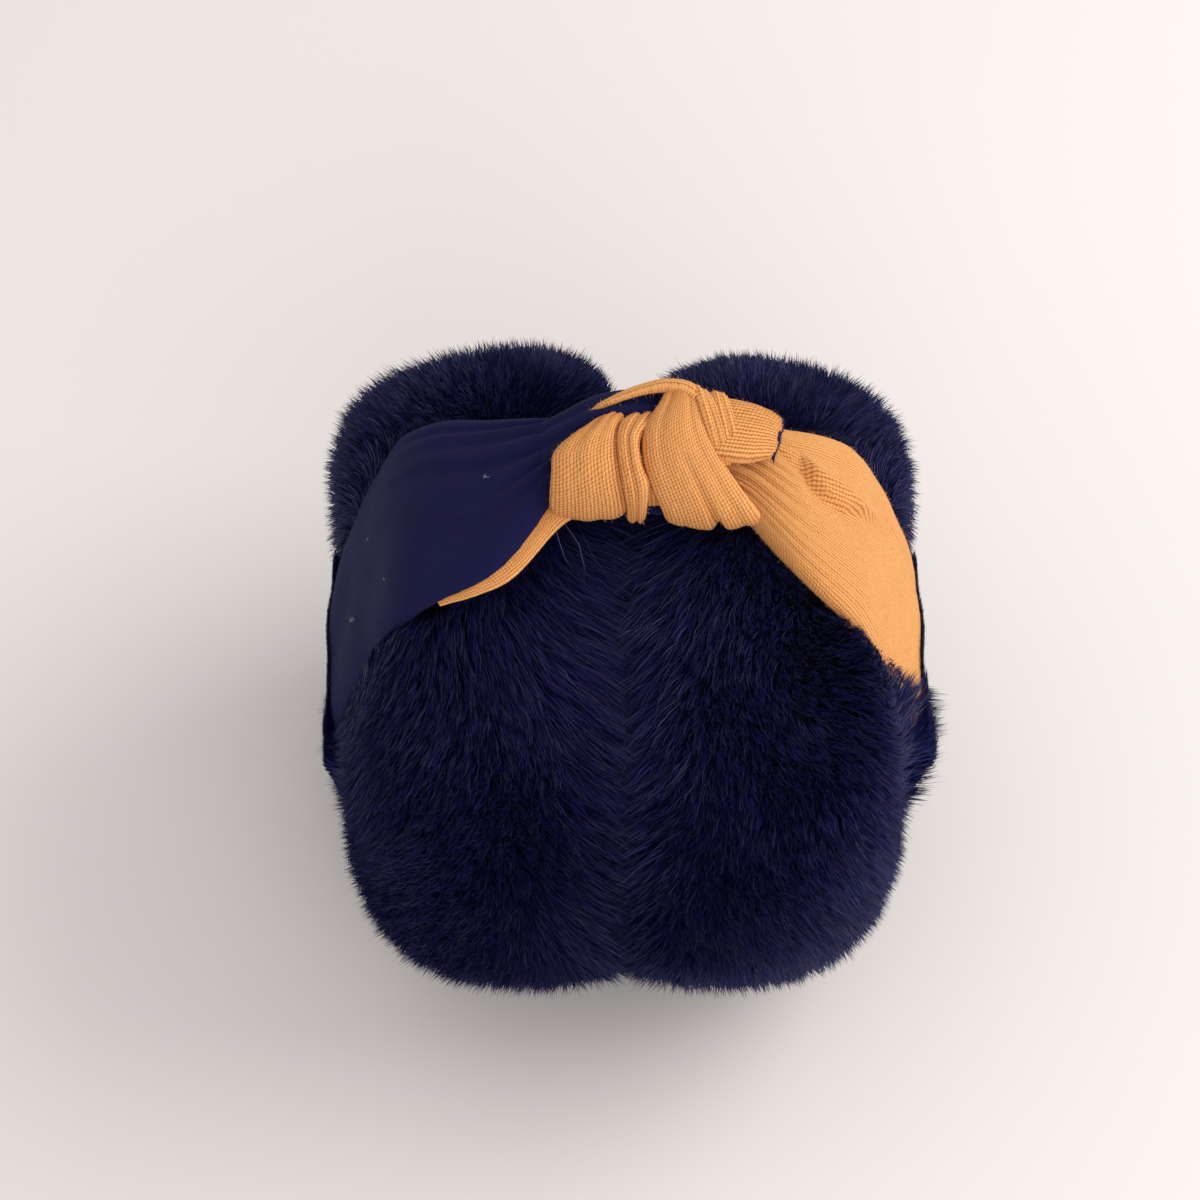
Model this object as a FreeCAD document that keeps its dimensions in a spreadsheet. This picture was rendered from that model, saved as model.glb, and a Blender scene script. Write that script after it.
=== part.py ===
import FreeCAD, Part
import math
import os

import Sketcher

# Knotted two-tone ear muffs: two round fur pads on a fabric covered band.
# Frame: X runs from ear to ear, Y from front to back, Z up.  The pads stand on
# the ground plane Z = 0 and meet at X = 0.  Sizes are in millimetres.

os.makedirs("parts", exist_ok=True)
doc = FreeCAD.newDocument("ear_muffs")
Vector = FreeCAD.Vector

SIZES = {
    # pads
    "pad_radius": 62.5,
    "pad_height": 60.0,
    "pad_half_gap": 0.4,
    "ear_corner_radius": 14.0,
    "outer_corner_radius": 24.0,
    "pad_shoulder_depth": 56.0,
    "pad_depth": 57.2,
    "backing_thickness": 1.5,
    "stuffing_radius": 48.3,
    "ear_opening_radius": 36.0,
    "ear_lip_depth": 6.0,
    "lining_radius": 35.7,
    "lining_front": 1.6,
    "lining_back": 5.8,
    "gather_ring_radius": 41.0,
    "gather_cord_radius": 1.1,
    "gather_cord_gap": 0.2,
    "wadding_front": 8.8,
    "wadding_back": 42.6,
    "wadding_rim_back": 34.4,
    "wadding_cone_radius": 41.0,
    "wadding_radius": 47.8,
    "wadding_edge": 8.0,
    # ear plate and swivel
    "plate_centre_front": 44.1,
    "plate_thickness": 2.0,
    "plate_flat_radius": 12.0,
    "plate_radius": 41.0,
    "plate_rise": 9.3,
    "boss_radius": 8.0,
    "boss_back": 51.3,
    "clamp_front": 34.7,
    "clamp_back": 36.5,
    "clamp_inner_radius": 41.1,
    "clamp_outer_radius": 43.3,
    "cover_room_radius": 43.6,
    "cover_plate_clearance": 0.3,
    "cover_rim_room": 2.8,
    "cover_ring_room": 2.0,
    "rivet_radius": 2.0,
    "rivet_hole_radius": 2.06,
    "rivet_tail_radius": 3.8,
    "rivet_tail_height": 1.2,
    "rivet_head_radius": 5.0,
    "rivet_head_front": 54.2,
    "rivet_head_back": 55.3,
    "rivet_head_chamfer": 0.6,
    "washer_radius": 7.0,
    "washer_thickness": 0.5,
    "swivel_room_radius": 14.0,
    "swivel_room_front": 46.4,
    "swivel_angle": 8.0,
    "swivel_angle_spare": 0.4,
    # arch of the band, measured along its middle line
    "crown_height": 69.0,
    "crown_arc_radius": 73.9,
    "crown_arc_angle": 25.0,
    "shoulder_radius": 20.0,
    "shoulder_angle": 47.0,
    "side_length": 38.0,
    "side_tilt": 18.0,
    "end_bend_radius": 20.0,
    "left_arm_start": 17.5,
    "right_arm_start": 35.5,
    "arm_gap": 0.4,
    "layer_gap": 0.1,
    "through_length": 200.0,
    # band layers
    "band_width": 43.0,
    "band_neck_width": 24.0,
    "band_neck_length": 22.0,
    "fabric_thickness": 1.2,
    "fabric_outer": 4.2,
    "padding_inner": 1.7,
    "lining_outer": -1.7,
    "lining_inner": -2.9,
    "lining_setback": 2.0,
    "strip_width": 14.0,
    "channel_width": 17.6,
    "channel_half_thickness": 1.6,
    "slot_half_thickness": 0.75,
    "slot_width": 14.4,
    "slot_end_clearance": 0.6,
    "slider_thickness": 1.2,
    "slider_travel": 28.0,
    "slider_engaged": 8.0,
    "slider_plane": 53.0,
    "slider_bend_height": 7.5,
    "crown_strip_half_thickness": 0.5,
    "crown_soft_width": 18.0,
    "band_clearance": 0.7,
    "side_extra_depth": 1.6,
    # knot
    "knot_left": -15.0,
    "knot_right": 9.0,
    "knot_half_depth": 13.0,
    "knot_bottom": 63.5,
    "knot_top": 83.0,
    "knot_wall": 1.0,
    "knot_round": 5.0,
    "passage_side_room": 0.4,
    "passage_top_room": 0.3,
    "passage_round": 0.5,
    "lobe_left": 9.4,
    "front_lobe_right": 26.0,
    "rear_lobe_right": 31.0,
    "lobe_split": 0.3,
    "lobe_half_depth": 13.5,
    "lobe_bottom": 73.0,
    "front_lobe_top": 85.0,
    "rear_lobe_top": 83.5,
    "lobe_round": 4.5,
}

sheet = doc.addObject("Spreadsheet::Sheet", "Sizes")
for row, (alias, number) in enumerate(SIZES.items(), start=1):
    sheet.set("A%d" % row, alias)
    sheet.set("B%d" % row, str(number))
    sheet.setAlias("B%d" % row, alias)
doc.recompute()


def size(alias):
    """Read one size back from the sheet."""
    return float(sheet.get(alias))


# ---------------------------------------------------------------- the arch line

def arch_segments():
    """Half of the band's middle line: (length, radius or None, start heading)."""
    crown_turn = size("crown_arc_angle")
    side_heading = 90.0 - size("side_tilt")
    return [
        (math.radians(crown_turn) * size("crown_arc_radius"), size("crown_arc_radius"), 0.0),
        (math.radians(size("shoulder_angle")) * size("shoulder_radius"), size("shoulder_radius"), crown_turn),
        (size("side_length"), None, side_heading),
        (math.radians(size("side_tilt")) * size("end_bend_radius"), size("end_bend_radius"), side_heading),
    ]


def arch_breaks():
    """Distances from the crown at which the line changes from one segment to the next."""
    breaks = [0.0]
    for length, _radius, _heading in arch_segments():
        breaks.append(breaks[-1] + length)
    return breaks


ARCH_BREAKS = arch_breaks()
SIDE_TOP = ARCH_BREAKS[2]
SIDE_BOTTOM = ARCH_BREAKS[3]
ARCH_END = ARCH_BREAKS[4]


def arch_point(distance, offset):
    """Point of the arch (X, Z above the pad centre) at a distance and an outward offset."""
    side = -1.0 if distance < 0 else 1.0
    remaining = abs(distance)
    x = 0.0
    z = size("crown_height")
    heading = 0.0
    for length, radius, start in arch_segments():
        step = min(remaining, length)
        first = math.radians(start)
        if radius is None:
            x += step * math.cos(first)
            z -= step * math.sin(first)
            heading = first
        else:
            heading = first + step / radius
            x += radius * (math.sin(heading) - math.sin(first))
            z -= radius * (math.cos(first) - math.cos(heading))
        remaining -= step
        if remaining <= 1e-9:
            break
    x += remaining * math.cos(heading)
    z -= remaining * math.sin(heading)
    return side * (x + offset * math.sin(heading)), z + offset * math.cos(heading)


def arch_edges(start, end, offset):
    """Edges along the arch between two distances; a reversed order runs backwards."""
    low, high = min(start, end), max(start, end)
    stops = [low]
    for stop in sorted([-b for b in ARCH_BREAKS] + ARCH_BREAKS):
        if low + 1e-6 < stop < high - 1e-6 and stop - stops[-1] > 1e-6:
            stops.append(stop)
    stops.append(high)
    edges = []
    for first, last in zip(stops[:-1], stops[1:]):
        begin = Vector(*arch_point(first, offset), 0)
        middle = Vector(*arch_point((first + last) / 2.0, offset), 0)
        finish = Vector(*arch_point(last, offset), 0)
        if start > end:
            begin, finish = finish, begin
        if middle.distanceToLine(begin, finish - begin) < 1e-6:
            edges.append(Part.LineSegment(begin, finish))
        else:
            edges.append(Part.Arc(begin, middle, finish))
    if start > end:
        edges.reverse()
    return edges


def band_outline(start, end, inner, outer):
    """Closed outline of a band layer between two distances and two offsets."""
    outside = arch_edges(start, end, outer)
    inside = arch_edges(end, start, inner)
    outline = list(outside)
    outline.append(Part.LineSegment(outside[-1].EndPoint, inside[0].StartPoint))
    outline.extend(inside)
    outline.append(Part.LineSegment(inside[-1].EndPoint, outside[0].StartPoint))
    return outline


def polygon(points):
    """Closed outline through a list of flat points."""
    corners = [Vector(x, y, 0) for x, y in points]
    return [Part.LineSegment(a, b) for a, b in zip(corners, corners[1:] + corners[:1])]


# ---------------------------------------------------------------- feature helpers

def new_body(label):
    body = doc.addObject("PartDesign::Body", label)
    body.Label = label
    return body


def add_sketch(body, role, outline, name):
    """Sketch holding a closed outline on one of the body's own base planes."""
    sketch = body.newObject("Sketcher::SketchObject", name)
    plane = [item for item in body.Origin.OriginFeatures if item.Role == role][0]
    sketch.AttachmentSupport = (plane, [""])
    sketch.MapMode = "FlatFace"
    sketch.addGeometry(outline, False)
    count = len(outline)
    sketch.addConstraint([Sketcher.Constraint("Block", index) for index in range(count)])
    return sketch


def add_pad(body, role, outline, name, length_size):
    """Pad an outline equally to both sides; its length follows a size of the sheet."""
    pad = body.newObject("PartDesign::Pad", name)
    pad.Profile = add_sketch(body, role, outline, name + "_outline")
    pad.Midplane = True
    pad.setExpression("Length", length_size)
    return pad


def add_pocket(body, role, outline, name, length_size):
    """Cut an outline equally to both sides of its plane."""
    pocket = body.newObject("PartDesign::Pocket", name)
    pocket.Profile = add_sketch(body, role, outline, name + "_outline")
    pocket.Midplane = True
    pocket.setExpression("Length", length_size)
    return pocket


def add_turning(body, outline, name):
    """Turn an outline (depth along X, radius) once round the X axis."""
    turning = body.newObject("PartDesign::Revolution", name)
    sketch = add_sketch(body, "XZ_Plane", outline, name + "_outline")
    turning.Profile = sketch
    turning.ReferenceAxis = (sketch, ["H_Axis"])
    turning.Angle = 360.0
    return turning


def place(item, side):
    """Lift a part to pad height; the left side is the right side turned about Z."""
    turn = FreeCAD.Rotation(Vector(0, 0, 1), 180.0 if side == "left" else 0.0)
    item.Placement = FreeCAD.Placement(Vector(0, 0, size("pad_height")), turn)


def cut(base, tool, label):
    """Subtract one part from another."""
    result = doc.addObject("Part::Cut", label)
    result.Base = base
    result.Tool = tool
    result.Label = label
    return result


PARTS = []


def finish_part(item, side="right"):
    """Place a finished part and put it on the list to be written."""
    place(item, side)
    PARTS.append(item)
    return item


# ---------------------------------------------------------------- pads

def fur_cover_outline():
    """Half section of the fur cover, from the ear lip round the rim to the outer face."""
    gap = size("pad_half_gap")
    radius = size("pad_radius")
    ear_corner = size("ear_corner_radius")
    outer_corner = size("outer_corner_radius")
    shoulder = size("pad_shoulder_depth")
    depth = size("pad_depth")
    room = size("swivel_room_radius")
    stuffing = size("stuffing_radius")
    diagonal = math.sqrt(0.5)
    a = Vector(gap, size("ear_opening_radius"), 0)
    b = Vector(gap, radius - ear_corner, 0)
    b_mid = Vector(gap + ear_corner * (1 - diagonal), radius - ear_corner * (1 - diagonal), 0)
    c = Vector(gap + ear_corner, radius, 0)
    d = Vector(shoulder - outer_corner, radius, 0)
    d_mid = Vector(shoulder - outer_corner * (1 - diagonal), radius - outer_corner * (1 - diagonal), 0)
    e = Vector(shoulder, radius - outer_corner, 0)
    f = Vector(depth, 0, 0)
    g = Vector(depth - size("backing_thickness"), 0, 0)
    h = Vector(depth - size("backing_thickness"), room, 0)
    i = Vector(size("swivel_room_front"), room, 0)
    rim_back = size("wadding_rim_back") + size("cover_plate_clearance")
    rim_room = Vector(rim_back + size("cover_rim_room"), size("plate_radius"), 0)
    ring_room = Vector(rim_back + size("cover_ring_room"), size("cover_room_radius"), 0)
    step = Vector(rim_back, size("cover_room_radius"), 0)
    j = Vector(rim_back, stuffing, 0)
    k = Vector(size("ear_lip_depth"), stuffing, 0)
    m = Vector(size("ear_lip_depth"), size("ear_opening_radius"), 0)
    line = Part.LineSegment
    return [line(a, b), Part.Arc(b, b_mid, c), line(c, d), Part.Arc(d, d_mid, e), line(e, f),
            line(f, g), line(g, h), line(h, i), line(i, rim_room), line(rim_room, ring_room),
            line(ring_room, step), line(step, j), line(j, k), line(k, m), line(m, a)]


def band_clearance_tool(label, swivel):
    """Space the band takes from the cover, turned by one swivel position."""
    reach = 120.0
    inner = size("lining_inner") - size("band_clearance")
    deeper = inner - size("side_extra_depth")
    crown = [arch_point(SIDE_TOP * step / 8.0, inner) for step in range(-1, 9)]
    side = [arch_point(SIDE_TOP + 6.0, deeper), arch_point(ARCH_END, deeper)]
    low_z = side[-1][1] - 2 * size("band_clearance")
    points = crown + side
    points.append((side[-1][0], low_z))
    points.append((reach, low_z))
    points.append((reach, reach))
    points.append((crown[0][0], reach))
    tool = new_body(label)
    width = "Sizes.band_width + 2 * Sizes.band_clearance"
    pad = add_pad(tool, "XZ_Plane", polygon(points), label + "_block", width)
    pad.Refine = False
    tool.Placement = FreeCAD.Placement(Vector(0, 0, 0), FreeCAD.Rotation(Vector(1, 0, 0), swivel))
    return tool


def build_fur_cover(side):
    """Fur cover: a thick round shell, flat where it rests, pressed in where the band lies."""
    label = side + "_fur_cover"
    shell = new_body(label + "_shell")
    add_turning(shell, fur_cover_outline(), "turning")
    ground = doc.addObject("Part::Box", label + "_ground")
    ground.Length = 80.0
    ground.Width = 160.0
    ground.Height = 20.0
    ground.Placement = FreeCAD.Placement(Vector(-10, -80, -size("pad_height") - 20.0), FreeCAD.Rotation())
    result = cut(shell, ground, label + "_rested")
    angle = size("swivel_angle") + size("swivel_angle_spare")
    for name, swivel in (("forward", angle), ("back", -angle), ("middle", 0.0)):
        tool = band_clearance_tool("%s_band_%s" % (label, name), swivel)
        result = cut(result, tool, "%s_pressed_%s" % (label, name))
    result.Label = label
    finish_part(result, side)


def rectangle(x_low, x_high, r_low, r_high):
    return polygon([(x_low, r_low), (x_high, r_low), (x_high, r_high), (x_low, r_high)])


def build_turned(side, name, outline):
    """A round part that is only a turned section."""
    body = new_body(side + "_" + name)
    add_turning(body, outline, "turning")
    finish_part(body, side)
    return body


def build_ear_lining(side):
    outline = rectangle(size("lining_front"), size("lining_back"), 0.0, size("lining_radius"))
    build_turned(side, "ear_lining", outline)


def build_gather_cord(side):
    cord = doc.addObject("Part::Torus", side + "_gather_cord")
    cord.setExpression("Radius1", "Sizes.gather_ring_radius")
    cord.setExpression("Radius2", "Sizes.gather_cord_radius")
    cord.Label = side + "_gather_cord"
    PARTS.append(cord)
    direction = -1.0 if side == "left" else 1.0
    middle = size("ear_lip_depth") + size("gather_cord_radius") + size("gather_cord_gap")
    turn = FreeCAD.Rotation(Vector(0, 1, 0), 90.0)
    cord.Placement = FreeCAD.Placement(Vector(direction * middle, 0, size("pad_height")), turn)


def build_wadding(side):
    front, back = size("wadding_front"), size("wadding_back")
    radius, edge = size("wadding_radius"), size("wadding_edge")
    diagonal = math.sqrt(0.5)
    a, b = Vector(front, 0, 0), Vector(front, radius - edge, 0)
    b_mid = Vector(front + edge * (1 - diagonal), radius - edge * (1 - diagonal), 0)
    rim = size("wadding_rim_back")
    c, d = Vector(front + edge, radius, 0), Vector(rim, radius, 0)
    e = Vector(rim, size("wadding_cone_radius"), 0)
    f, g = Vector(back, size("plate_flat_radius"), 0), Vector(back, 0, 0)
    line = Part.LineSegment
    build_turned(side, "wadding", [line(a, b), Part.Arc(b, b_mid, c), line(c, d), line(d, e),
                                   line(e, f), line(f, g), line(g, a)])


def build_ear_plate(side):
    """Domed plastic plate, highest at its centre, with a bored boss for the rivet."""
    bore = size("rivet_hole_radius")
    front = size("plate_centre_front")
    back = front + size("plate_thickness")
    flat, radius, rise = size("plate_flat_radius"), size("plate_radius"), size("plate_rise")
    build_turned(side, "ear_plate", polygon([
        (front, bore), (front, flat), (front - rise, radius), (back - rise, radius),
        (back, flat), (back, size("boss_radius")), (size("boss_back"), size("boss_radius")),
        (size("boss_back"), bore)]))


def build_clamp_ring(side):
    outline = rectangle(size("clamp_front"), size("clamp_back"),
                        size("clamp_inner_radius"), size("clamp_outer_radius"))
    build_turned(side, "cover_clamp_ring", outline)


def build_rivet(side):
    seat = size("plate_centre_front")
    tail = seat - size("rivet_tail_height")
    shank = size("rivet_radius")
    build_turned(side, "swivel_rivet", polygon([
        (tail, 0.0), (tail, size("rivet_tail_radius")), (seat, size("rivet_tail_radius")),
        (seat, shank), (size("rivet_head_front"), shank),
        (size("rivet_head_front"), size("rivet_head_radius")),
        (size("rivet_head_back"), size("rivet_head_radius") - size("rivet_head_chamfer")),
        (size("rivet_head_back"), 0.0)]))


def build_washers(side):
    """The two thin washers between boss, slider and rivet head share one node."""
    thickness = size("washer_thickness")
    bore, radius = size("rivet_hole_radius"), size("washer_radius")
    rings = []
    for index, front in enumerate((size("boss_back"), size("rivet_head_front") - thickness)):
        ring = new_body("%s_washer_%d" % (side, index + 1))
        add_turning(ring, rectangle(front, front + thickness, bore, radius), "turning")
        rings.append(ring)
    pair = doc.addObject("Part::Compound", side + "_swivel_washers")
    pair.Links = rings
    pair.Label = side + "_swivel_washers"
    finish_part(pair, side)


# ---------------------------------------------------------------- sliders

def build_slider(side):
    """Flat spring strip: straight inside the arm, bent upright to the rivet eye."""
    half = size("slider_thickness") / 2.0
    top = SIDE_BOTTOM - size("slider_travel") - size("slider_engaged")
    top_in = arch_point(top, -half)
    top_out = arch_point(top, half)
    low_in = arch_point(SIDE_BOTTOM, -half)
    low_out = arch_point(SIDE_BOTTOM, half)
    plane = size("slider_plane")
    bend = size("slider_bend_height")
    outline = polygon([
        top_out, low_out, (plane + half, bend), (plane + half, -size("washer_radius")),
        (plane - half, -size("washer_radius")), (plane - half, bend), low_in, top_in])
    body = new_body(side + "_slider_strip")
    add_pad(body, "XZ_Plane", outline, "strip", "Sizes.strip_width")
    eye = add_eye(body)
    body.Tip = eye
    finish_part(body, side)


def add_eye(body):
    """Bore for the rivet across the lower end of the slider."""
    sketch = body.newObject("Sketcher::SketchObject", "eye_outline")
    plane = [item for item in body.Origin.OriginFeatures if item.Role == "YZ_Plane"][0]
    sketch.AttachmentSupport = (plane, [""])
    sketch.MapMode = "FlatFace"
    sketch.addGeometry(Part.Circle(Vector(0, 0, 0), Vector(0, 0, 1), size("rivet_hole_radius")), False)
    sketch.addConstraint(Sketcher.Constraint("Coincident", 0, 3, -1, 1))
    radius = sketch.addConstraint(Sketcher.Constraint("Radius", 0, size("rivet_hole_radius")))
    sketch.setExpression("Constraints[%d]" % radius, "Sizes.rivet_hole_radius")
    eye = body.newObject("PartDesign::Pocket", "eye")
    eye.Profile = sketch
    eye.Midplane = True
    eye.Length = size("through_length")
    return eye


# ---------------------------------------------------------------- arms

def neck_corners(start, sign):
    """Corner cut away where the band narrows towards the knot, seen from above."""
    x_start = arch_point(start, 0.0)[0] - 8.0
    x_end = arch_point(start, 0.0)[0] + size("band_neck_length")
    half = size("band_width") / 2.0
    neck = size("band_neck_width") / 2.0
    return polygon([(x_start, sign * neck), (x_end, sign * half), (x_end, sign * (half + 3)),
                    (x_start, sign * (half + 3))])


def narrow_neck(body, start):
    for name, sign in (("front_neck", -1.0), ("rear_neck", 1.0)):
        pocket = add_pocket(body, "XY_Plane", neck_corners(start, sign), name, "4 * Sizes.pad_radius")
        body.Tip = pocket


def build_arm_channel(side, start):
    """Moulded arm: solid near the crown, a flat tube for the slider along the side."""
    half = size("channel_half_thickness")
    slot = size("slot_half_thickness")
    body = new_body(side + "_arm_channel")
    add_pad(body, "XZ_Plane", band_outline(start, SIDE_BOTTOM, -half, half), "arm", "Sizes.channel_width")
    slot_top = SIDE_BOTTOM - size("slider_travel") - size("slider_engaged")
    slot_top -= size("slot_end_clearance")
    straight = polygon([arch_point(slot_top, slot), tangent_point(2.0, slot),
                        tangent_point(2.0, -slot), arch_point(slot_top, -slot)])
    body.Tip = add_pocket(body, "XZ_Plane", straight, "slider_slot", "Sizes.slot_width")
    finish_part(body, side)


def tangent_point(beyond, offset):
    """Point past the lower end of the straight side, on its own line."""
    x, z = arch_point(SIDE_BOTTOM, offset)
    tilt = math.radians(size("side_tilt"))
    return x + beyond * math.sin(tilt), z - beyond * math.cos(tilt)


def build_outer_sleeve(side, start):
    """Outer fabric of one arm: covers the outside and folds round both edges."""
    body = new_body(side + "_outer_sleeve")
    outer, wall = size("fabric_outer"), size("fabric_thickness")
    edge = size("lining_outer") + size("layer_gap")
    add_pad(body, "XZ_Plane", band_outline(start, ARCH_END, edge, outer), "fabric", "Sizes.band_width")
    inside = band_outline(start - 1.0, ARCH_END + 1.0, edge - 1.0, outer - wall)
    body.Tip = add_pocket(body, "XZ_Plane", inside, "hollow", "Sizes.band_width - 2 * Sizes.fabric_thickness")
    narrow_neck(body, start)
    finish_part(body, side)


def build_layer(side, name, start, end, inner, outer, width_size):
    """A flat soft layer that follows the arch."""
    body = new_body(side + "_" + name)
    add_pad(body, "XZ_Plane", band_outline(start, end, inner, outer), "layer", width_size)
    narrow_neck(body, start)
    finish_part(body, side)


def build_arm(side, start):
    build_arm_channel(side, start)
    build_outer_sleeve(side, start)
    build_layer(side, "band_padding", start, ARCH_END, size("padding_inner"),
                size("fabric_outer") - size("fabric_thickness") - size("layer_gap"),
                "Sizes.band_width - 2 * Sizes.fabric_thickness - 1")
    lining_end = SIDE_BOTTOM - size("lining_setback")
    build_layer(side, "inner_lining", start, lining_end, size("lining_inner"), size("lining_outer"),
                "Sizes.band_width")


# ---------------------------------------------------------------- crown and knot

def build_crown_layer(name, inner, outer, width_size):
    """A layer of the crown between the two arms."""
    body = new_body(name)
    start = -size("left_arm_start") + size("arm_gap")
    end = size("right_arm_start") - size("arm_gap")
    add_pad(body, "XZ_Plane", band_outline(start, end, inner, outer), "layer", width_size)
    finish_part(body)


def build_crown_gather():
    """Gathered end of the right sleeve, running from the arm into the knot."""
    body = new_body("crown_gather")
    start = size("knot_right") + 1.0
    end = size("right_arm_start") - size("arm_gap")
    inner = size("crown_strip_half_thickness") + size("layer_gap")
    outline = band_outline(start, end, inner, size("fabric_outer"))
    add_pad(body, "XZ_Plane", outline, "layer", "Sizes.band_neck_width")
    finish_part(body)


def rounded_rectangle(x_low, x_high, y_low, y_high, radius):
    """Closed outline with four rounded corners."""
    diagonal = radius * (1 - math.sqrt(0.5))
    line = Part.LineSegment
    bottom = [Vector(x_low + radius, y_low, 0), Vector(x_high - radius, y_low, 0)]
    right = [Vector(x_high, y_low + radius, 0), Vector(x_high, y_high - radius, 0)]
    top = [Vector(x_high - radius, y_high, 0), Vector(x_low + radius, y_high, 0)]
    left = [Vector(x_low, y_high - radius, 0), Vector(x_low, y_low + radius, 0)]
    return [
        line(*bottom), Part.Arc(bottom[1], Vector(x_high - diagonal, y_low + diagonal, 0), right[0]),
        line(*right), Part.Arc(right[1], Vector(x_high - diagonal, y_high - diagonal, 0), top[0]),
        line(*top), Part.Arc(top[1], Vector(x_low + diagonal, y_high - diagonal, 0), left[0]),
        line(*left), Part.Arc(left[1], Vector(x_low + diagonal, y_low + diagonal, 0), bottom[0])]


def build_knot_wrap():
    """The turn of fabric that goes right round the crown."""
    body = new_body("knot_wrap")
    depth = size("knot_half_depth")
    outline = rounded_rectangle(-depth, depth, size("knot_bottom"), size("knot_top"), size("knot_round"))
    pad = body.newObject("PartDesign::Pad", "turn")
    pad.Profile = add_sketch(body, "YZ_Plane", outline, "turn_outline")
    pad.setExpression("Length", "Sizes.knot_right - Sizes.knot_left")
    half_width = size("crown_soft_width") / 2.0 + size("passage_side_room")
    low = size("knot_bottom") + size("knot_wall")
    high = size("crown_height") + size("crown_strip_half_thickness") + size("passage_top_room")
    passage = rounded_rectangle(-half_width, half_width, low, high, size("passage_round"))
    hole = body.newObject("PartDesign::Pocket", "passage")
    hole.Profile = add_sketch(body, "YZ_Plane", passage, "passage_outline")
    hole.Midplane = True
    hole.Length = size("through_length")
    body.Tip = hole
    PARTS.append(body)
    body.Placement = FreeCAD.Placement(Vector(size("knot_left"), 0, size("pad_height")), FreeCAD.Rotation())


def build_lobe(name, right, y_low, y_high, top):
    """A soft rounded fold of the knot."""
    box = doc.addObject("Part::Box", name + "_block")
    box.Length = size(right) - size("lobe_left")
    box.Width = y_high - y_low
    box.Height = size(top) - size("lobe_bottom")
    box.Placement = FreeCAD.Placement(Vector(size("lobe_left"), y_low, size("lobe_bottom")), FreeCAD.Rotation())
    lobe = doc.addObject("Part::Fillet", name)
    lobe.Base = box
    fillet = size("lobe_round")
    lobe.Edges = [(edge, fillet, fillet) for edge in range(1, 13)]
    lobe.Label = name
    finish_part(lobe)


def build_knot():
    build_knot_wrap()
    half = size("lobe_half_depth")
    split = size("lobe_split")
    build_lobe("knot_front_lobe", "front_lobe_right", -half, -split, "front_lobe_top")
    build_lobe("knot_rear_lobe", "rear_lobe_right", split, half, "rear_lobe_top")


# ---------------------------------------------------------------- build and write

def build_pad(side):
    build_fur_cover(side)
    build_ear_lining(side)
    build_gather_cord(side)
    build_wadding(side)
    build_ear_plate(side)
    build_clamp_ring(side)
    build_rivet(side)
    build_washers(side)


for side_name, arm_start in (("left", "left_arm_start"), ("right", "right_arm_start")):
    build_pad(side_name)
    build_slider(side_name)
    build_arm(side_name, size(arm_start))
half_strip = size("crown_strip_half_thickness")
build_crown_layer("crown_spring_strip", -half_strip, half_strip, "Sizes.strip_width")
layer_gap = size("layer_gap")
build_crown_layer("crown_padding", size("lining_outer") + layer_gap, -half_strip - layer_gap,
                  "Sizes.crown_soft_width")
build_crown_layer("crown_lining", size("lining_inner"), size("lining_outer"), "Sizes.crown_soft_width")
build_crown_gather()
build_knot()
doc.recompute()

for item in doc.Objects:
    if "Invalid" in item.State or "Error" in item.State:
        raise RuntimeError("%s is %s" % (item.Label, item.State))
for item in PARTS:
    shape = item.Shape
    if shape.isNull() or not shape.isValid():
        raise RuntimeError("%s has no valid shape" % item.Label)
    box = shape.BoundBox
    print("%-24s solids %d volume %9.0f  x %6.1f..%6.1f y %6.1f..%6.1f z %6.1f..%6.1f" % (
        item.Label, len(shape.Solids), shape.Volume, box.XMin, box.XMax, box.YMin, box.YMax, box.ZMin, box.ZMax))
    shape.exportStep("parts/%s.step" % item.Label)
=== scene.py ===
import math

import bpy
import numpy as np
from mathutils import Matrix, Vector, kdtree


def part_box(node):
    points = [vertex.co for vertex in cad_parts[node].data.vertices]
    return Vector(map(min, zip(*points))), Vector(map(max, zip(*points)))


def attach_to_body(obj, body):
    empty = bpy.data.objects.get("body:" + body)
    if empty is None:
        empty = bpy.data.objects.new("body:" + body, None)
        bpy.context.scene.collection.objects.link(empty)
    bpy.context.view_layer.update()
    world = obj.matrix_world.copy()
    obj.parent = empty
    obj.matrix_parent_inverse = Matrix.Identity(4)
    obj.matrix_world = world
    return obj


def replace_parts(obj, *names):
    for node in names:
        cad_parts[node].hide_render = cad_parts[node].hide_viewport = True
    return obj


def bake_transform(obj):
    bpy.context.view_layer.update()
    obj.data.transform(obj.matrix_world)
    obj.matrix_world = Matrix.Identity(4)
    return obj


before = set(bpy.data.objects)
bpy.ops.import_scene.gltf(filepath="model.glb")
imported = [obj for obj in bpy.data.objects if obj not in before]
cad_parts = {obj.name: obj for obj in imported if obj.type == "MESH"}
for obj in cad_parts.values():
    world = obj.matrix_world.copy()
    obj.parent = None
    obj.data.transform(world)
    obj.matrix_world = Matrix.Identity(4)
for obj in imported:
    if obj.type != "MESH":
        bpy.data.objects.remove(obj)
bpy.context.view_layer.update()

MM = 0.001
SIGN = {"left": -1.0, "right": 1.0}

# Middle line of the band above the pad centre, in millimetres and degrees, as in the CAD model.
CROWN_HEIGHT = 69.0
ARCH_TURNS = [(73.9, 25.0), (20.0, 47.0)]
SIDE_LENGTH = 38.0
SIDE_TILT = 18.0
END_RADIUS = 20.0

PLATE_LOW, PLATE_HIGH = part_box("right_ear_plate")
PAD_HEIGHT = (PLATE_LOW.z + PLATE_HIGH.z) / 2 / MM


# ------------------------------------------------------------------ arch of the band

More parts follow.
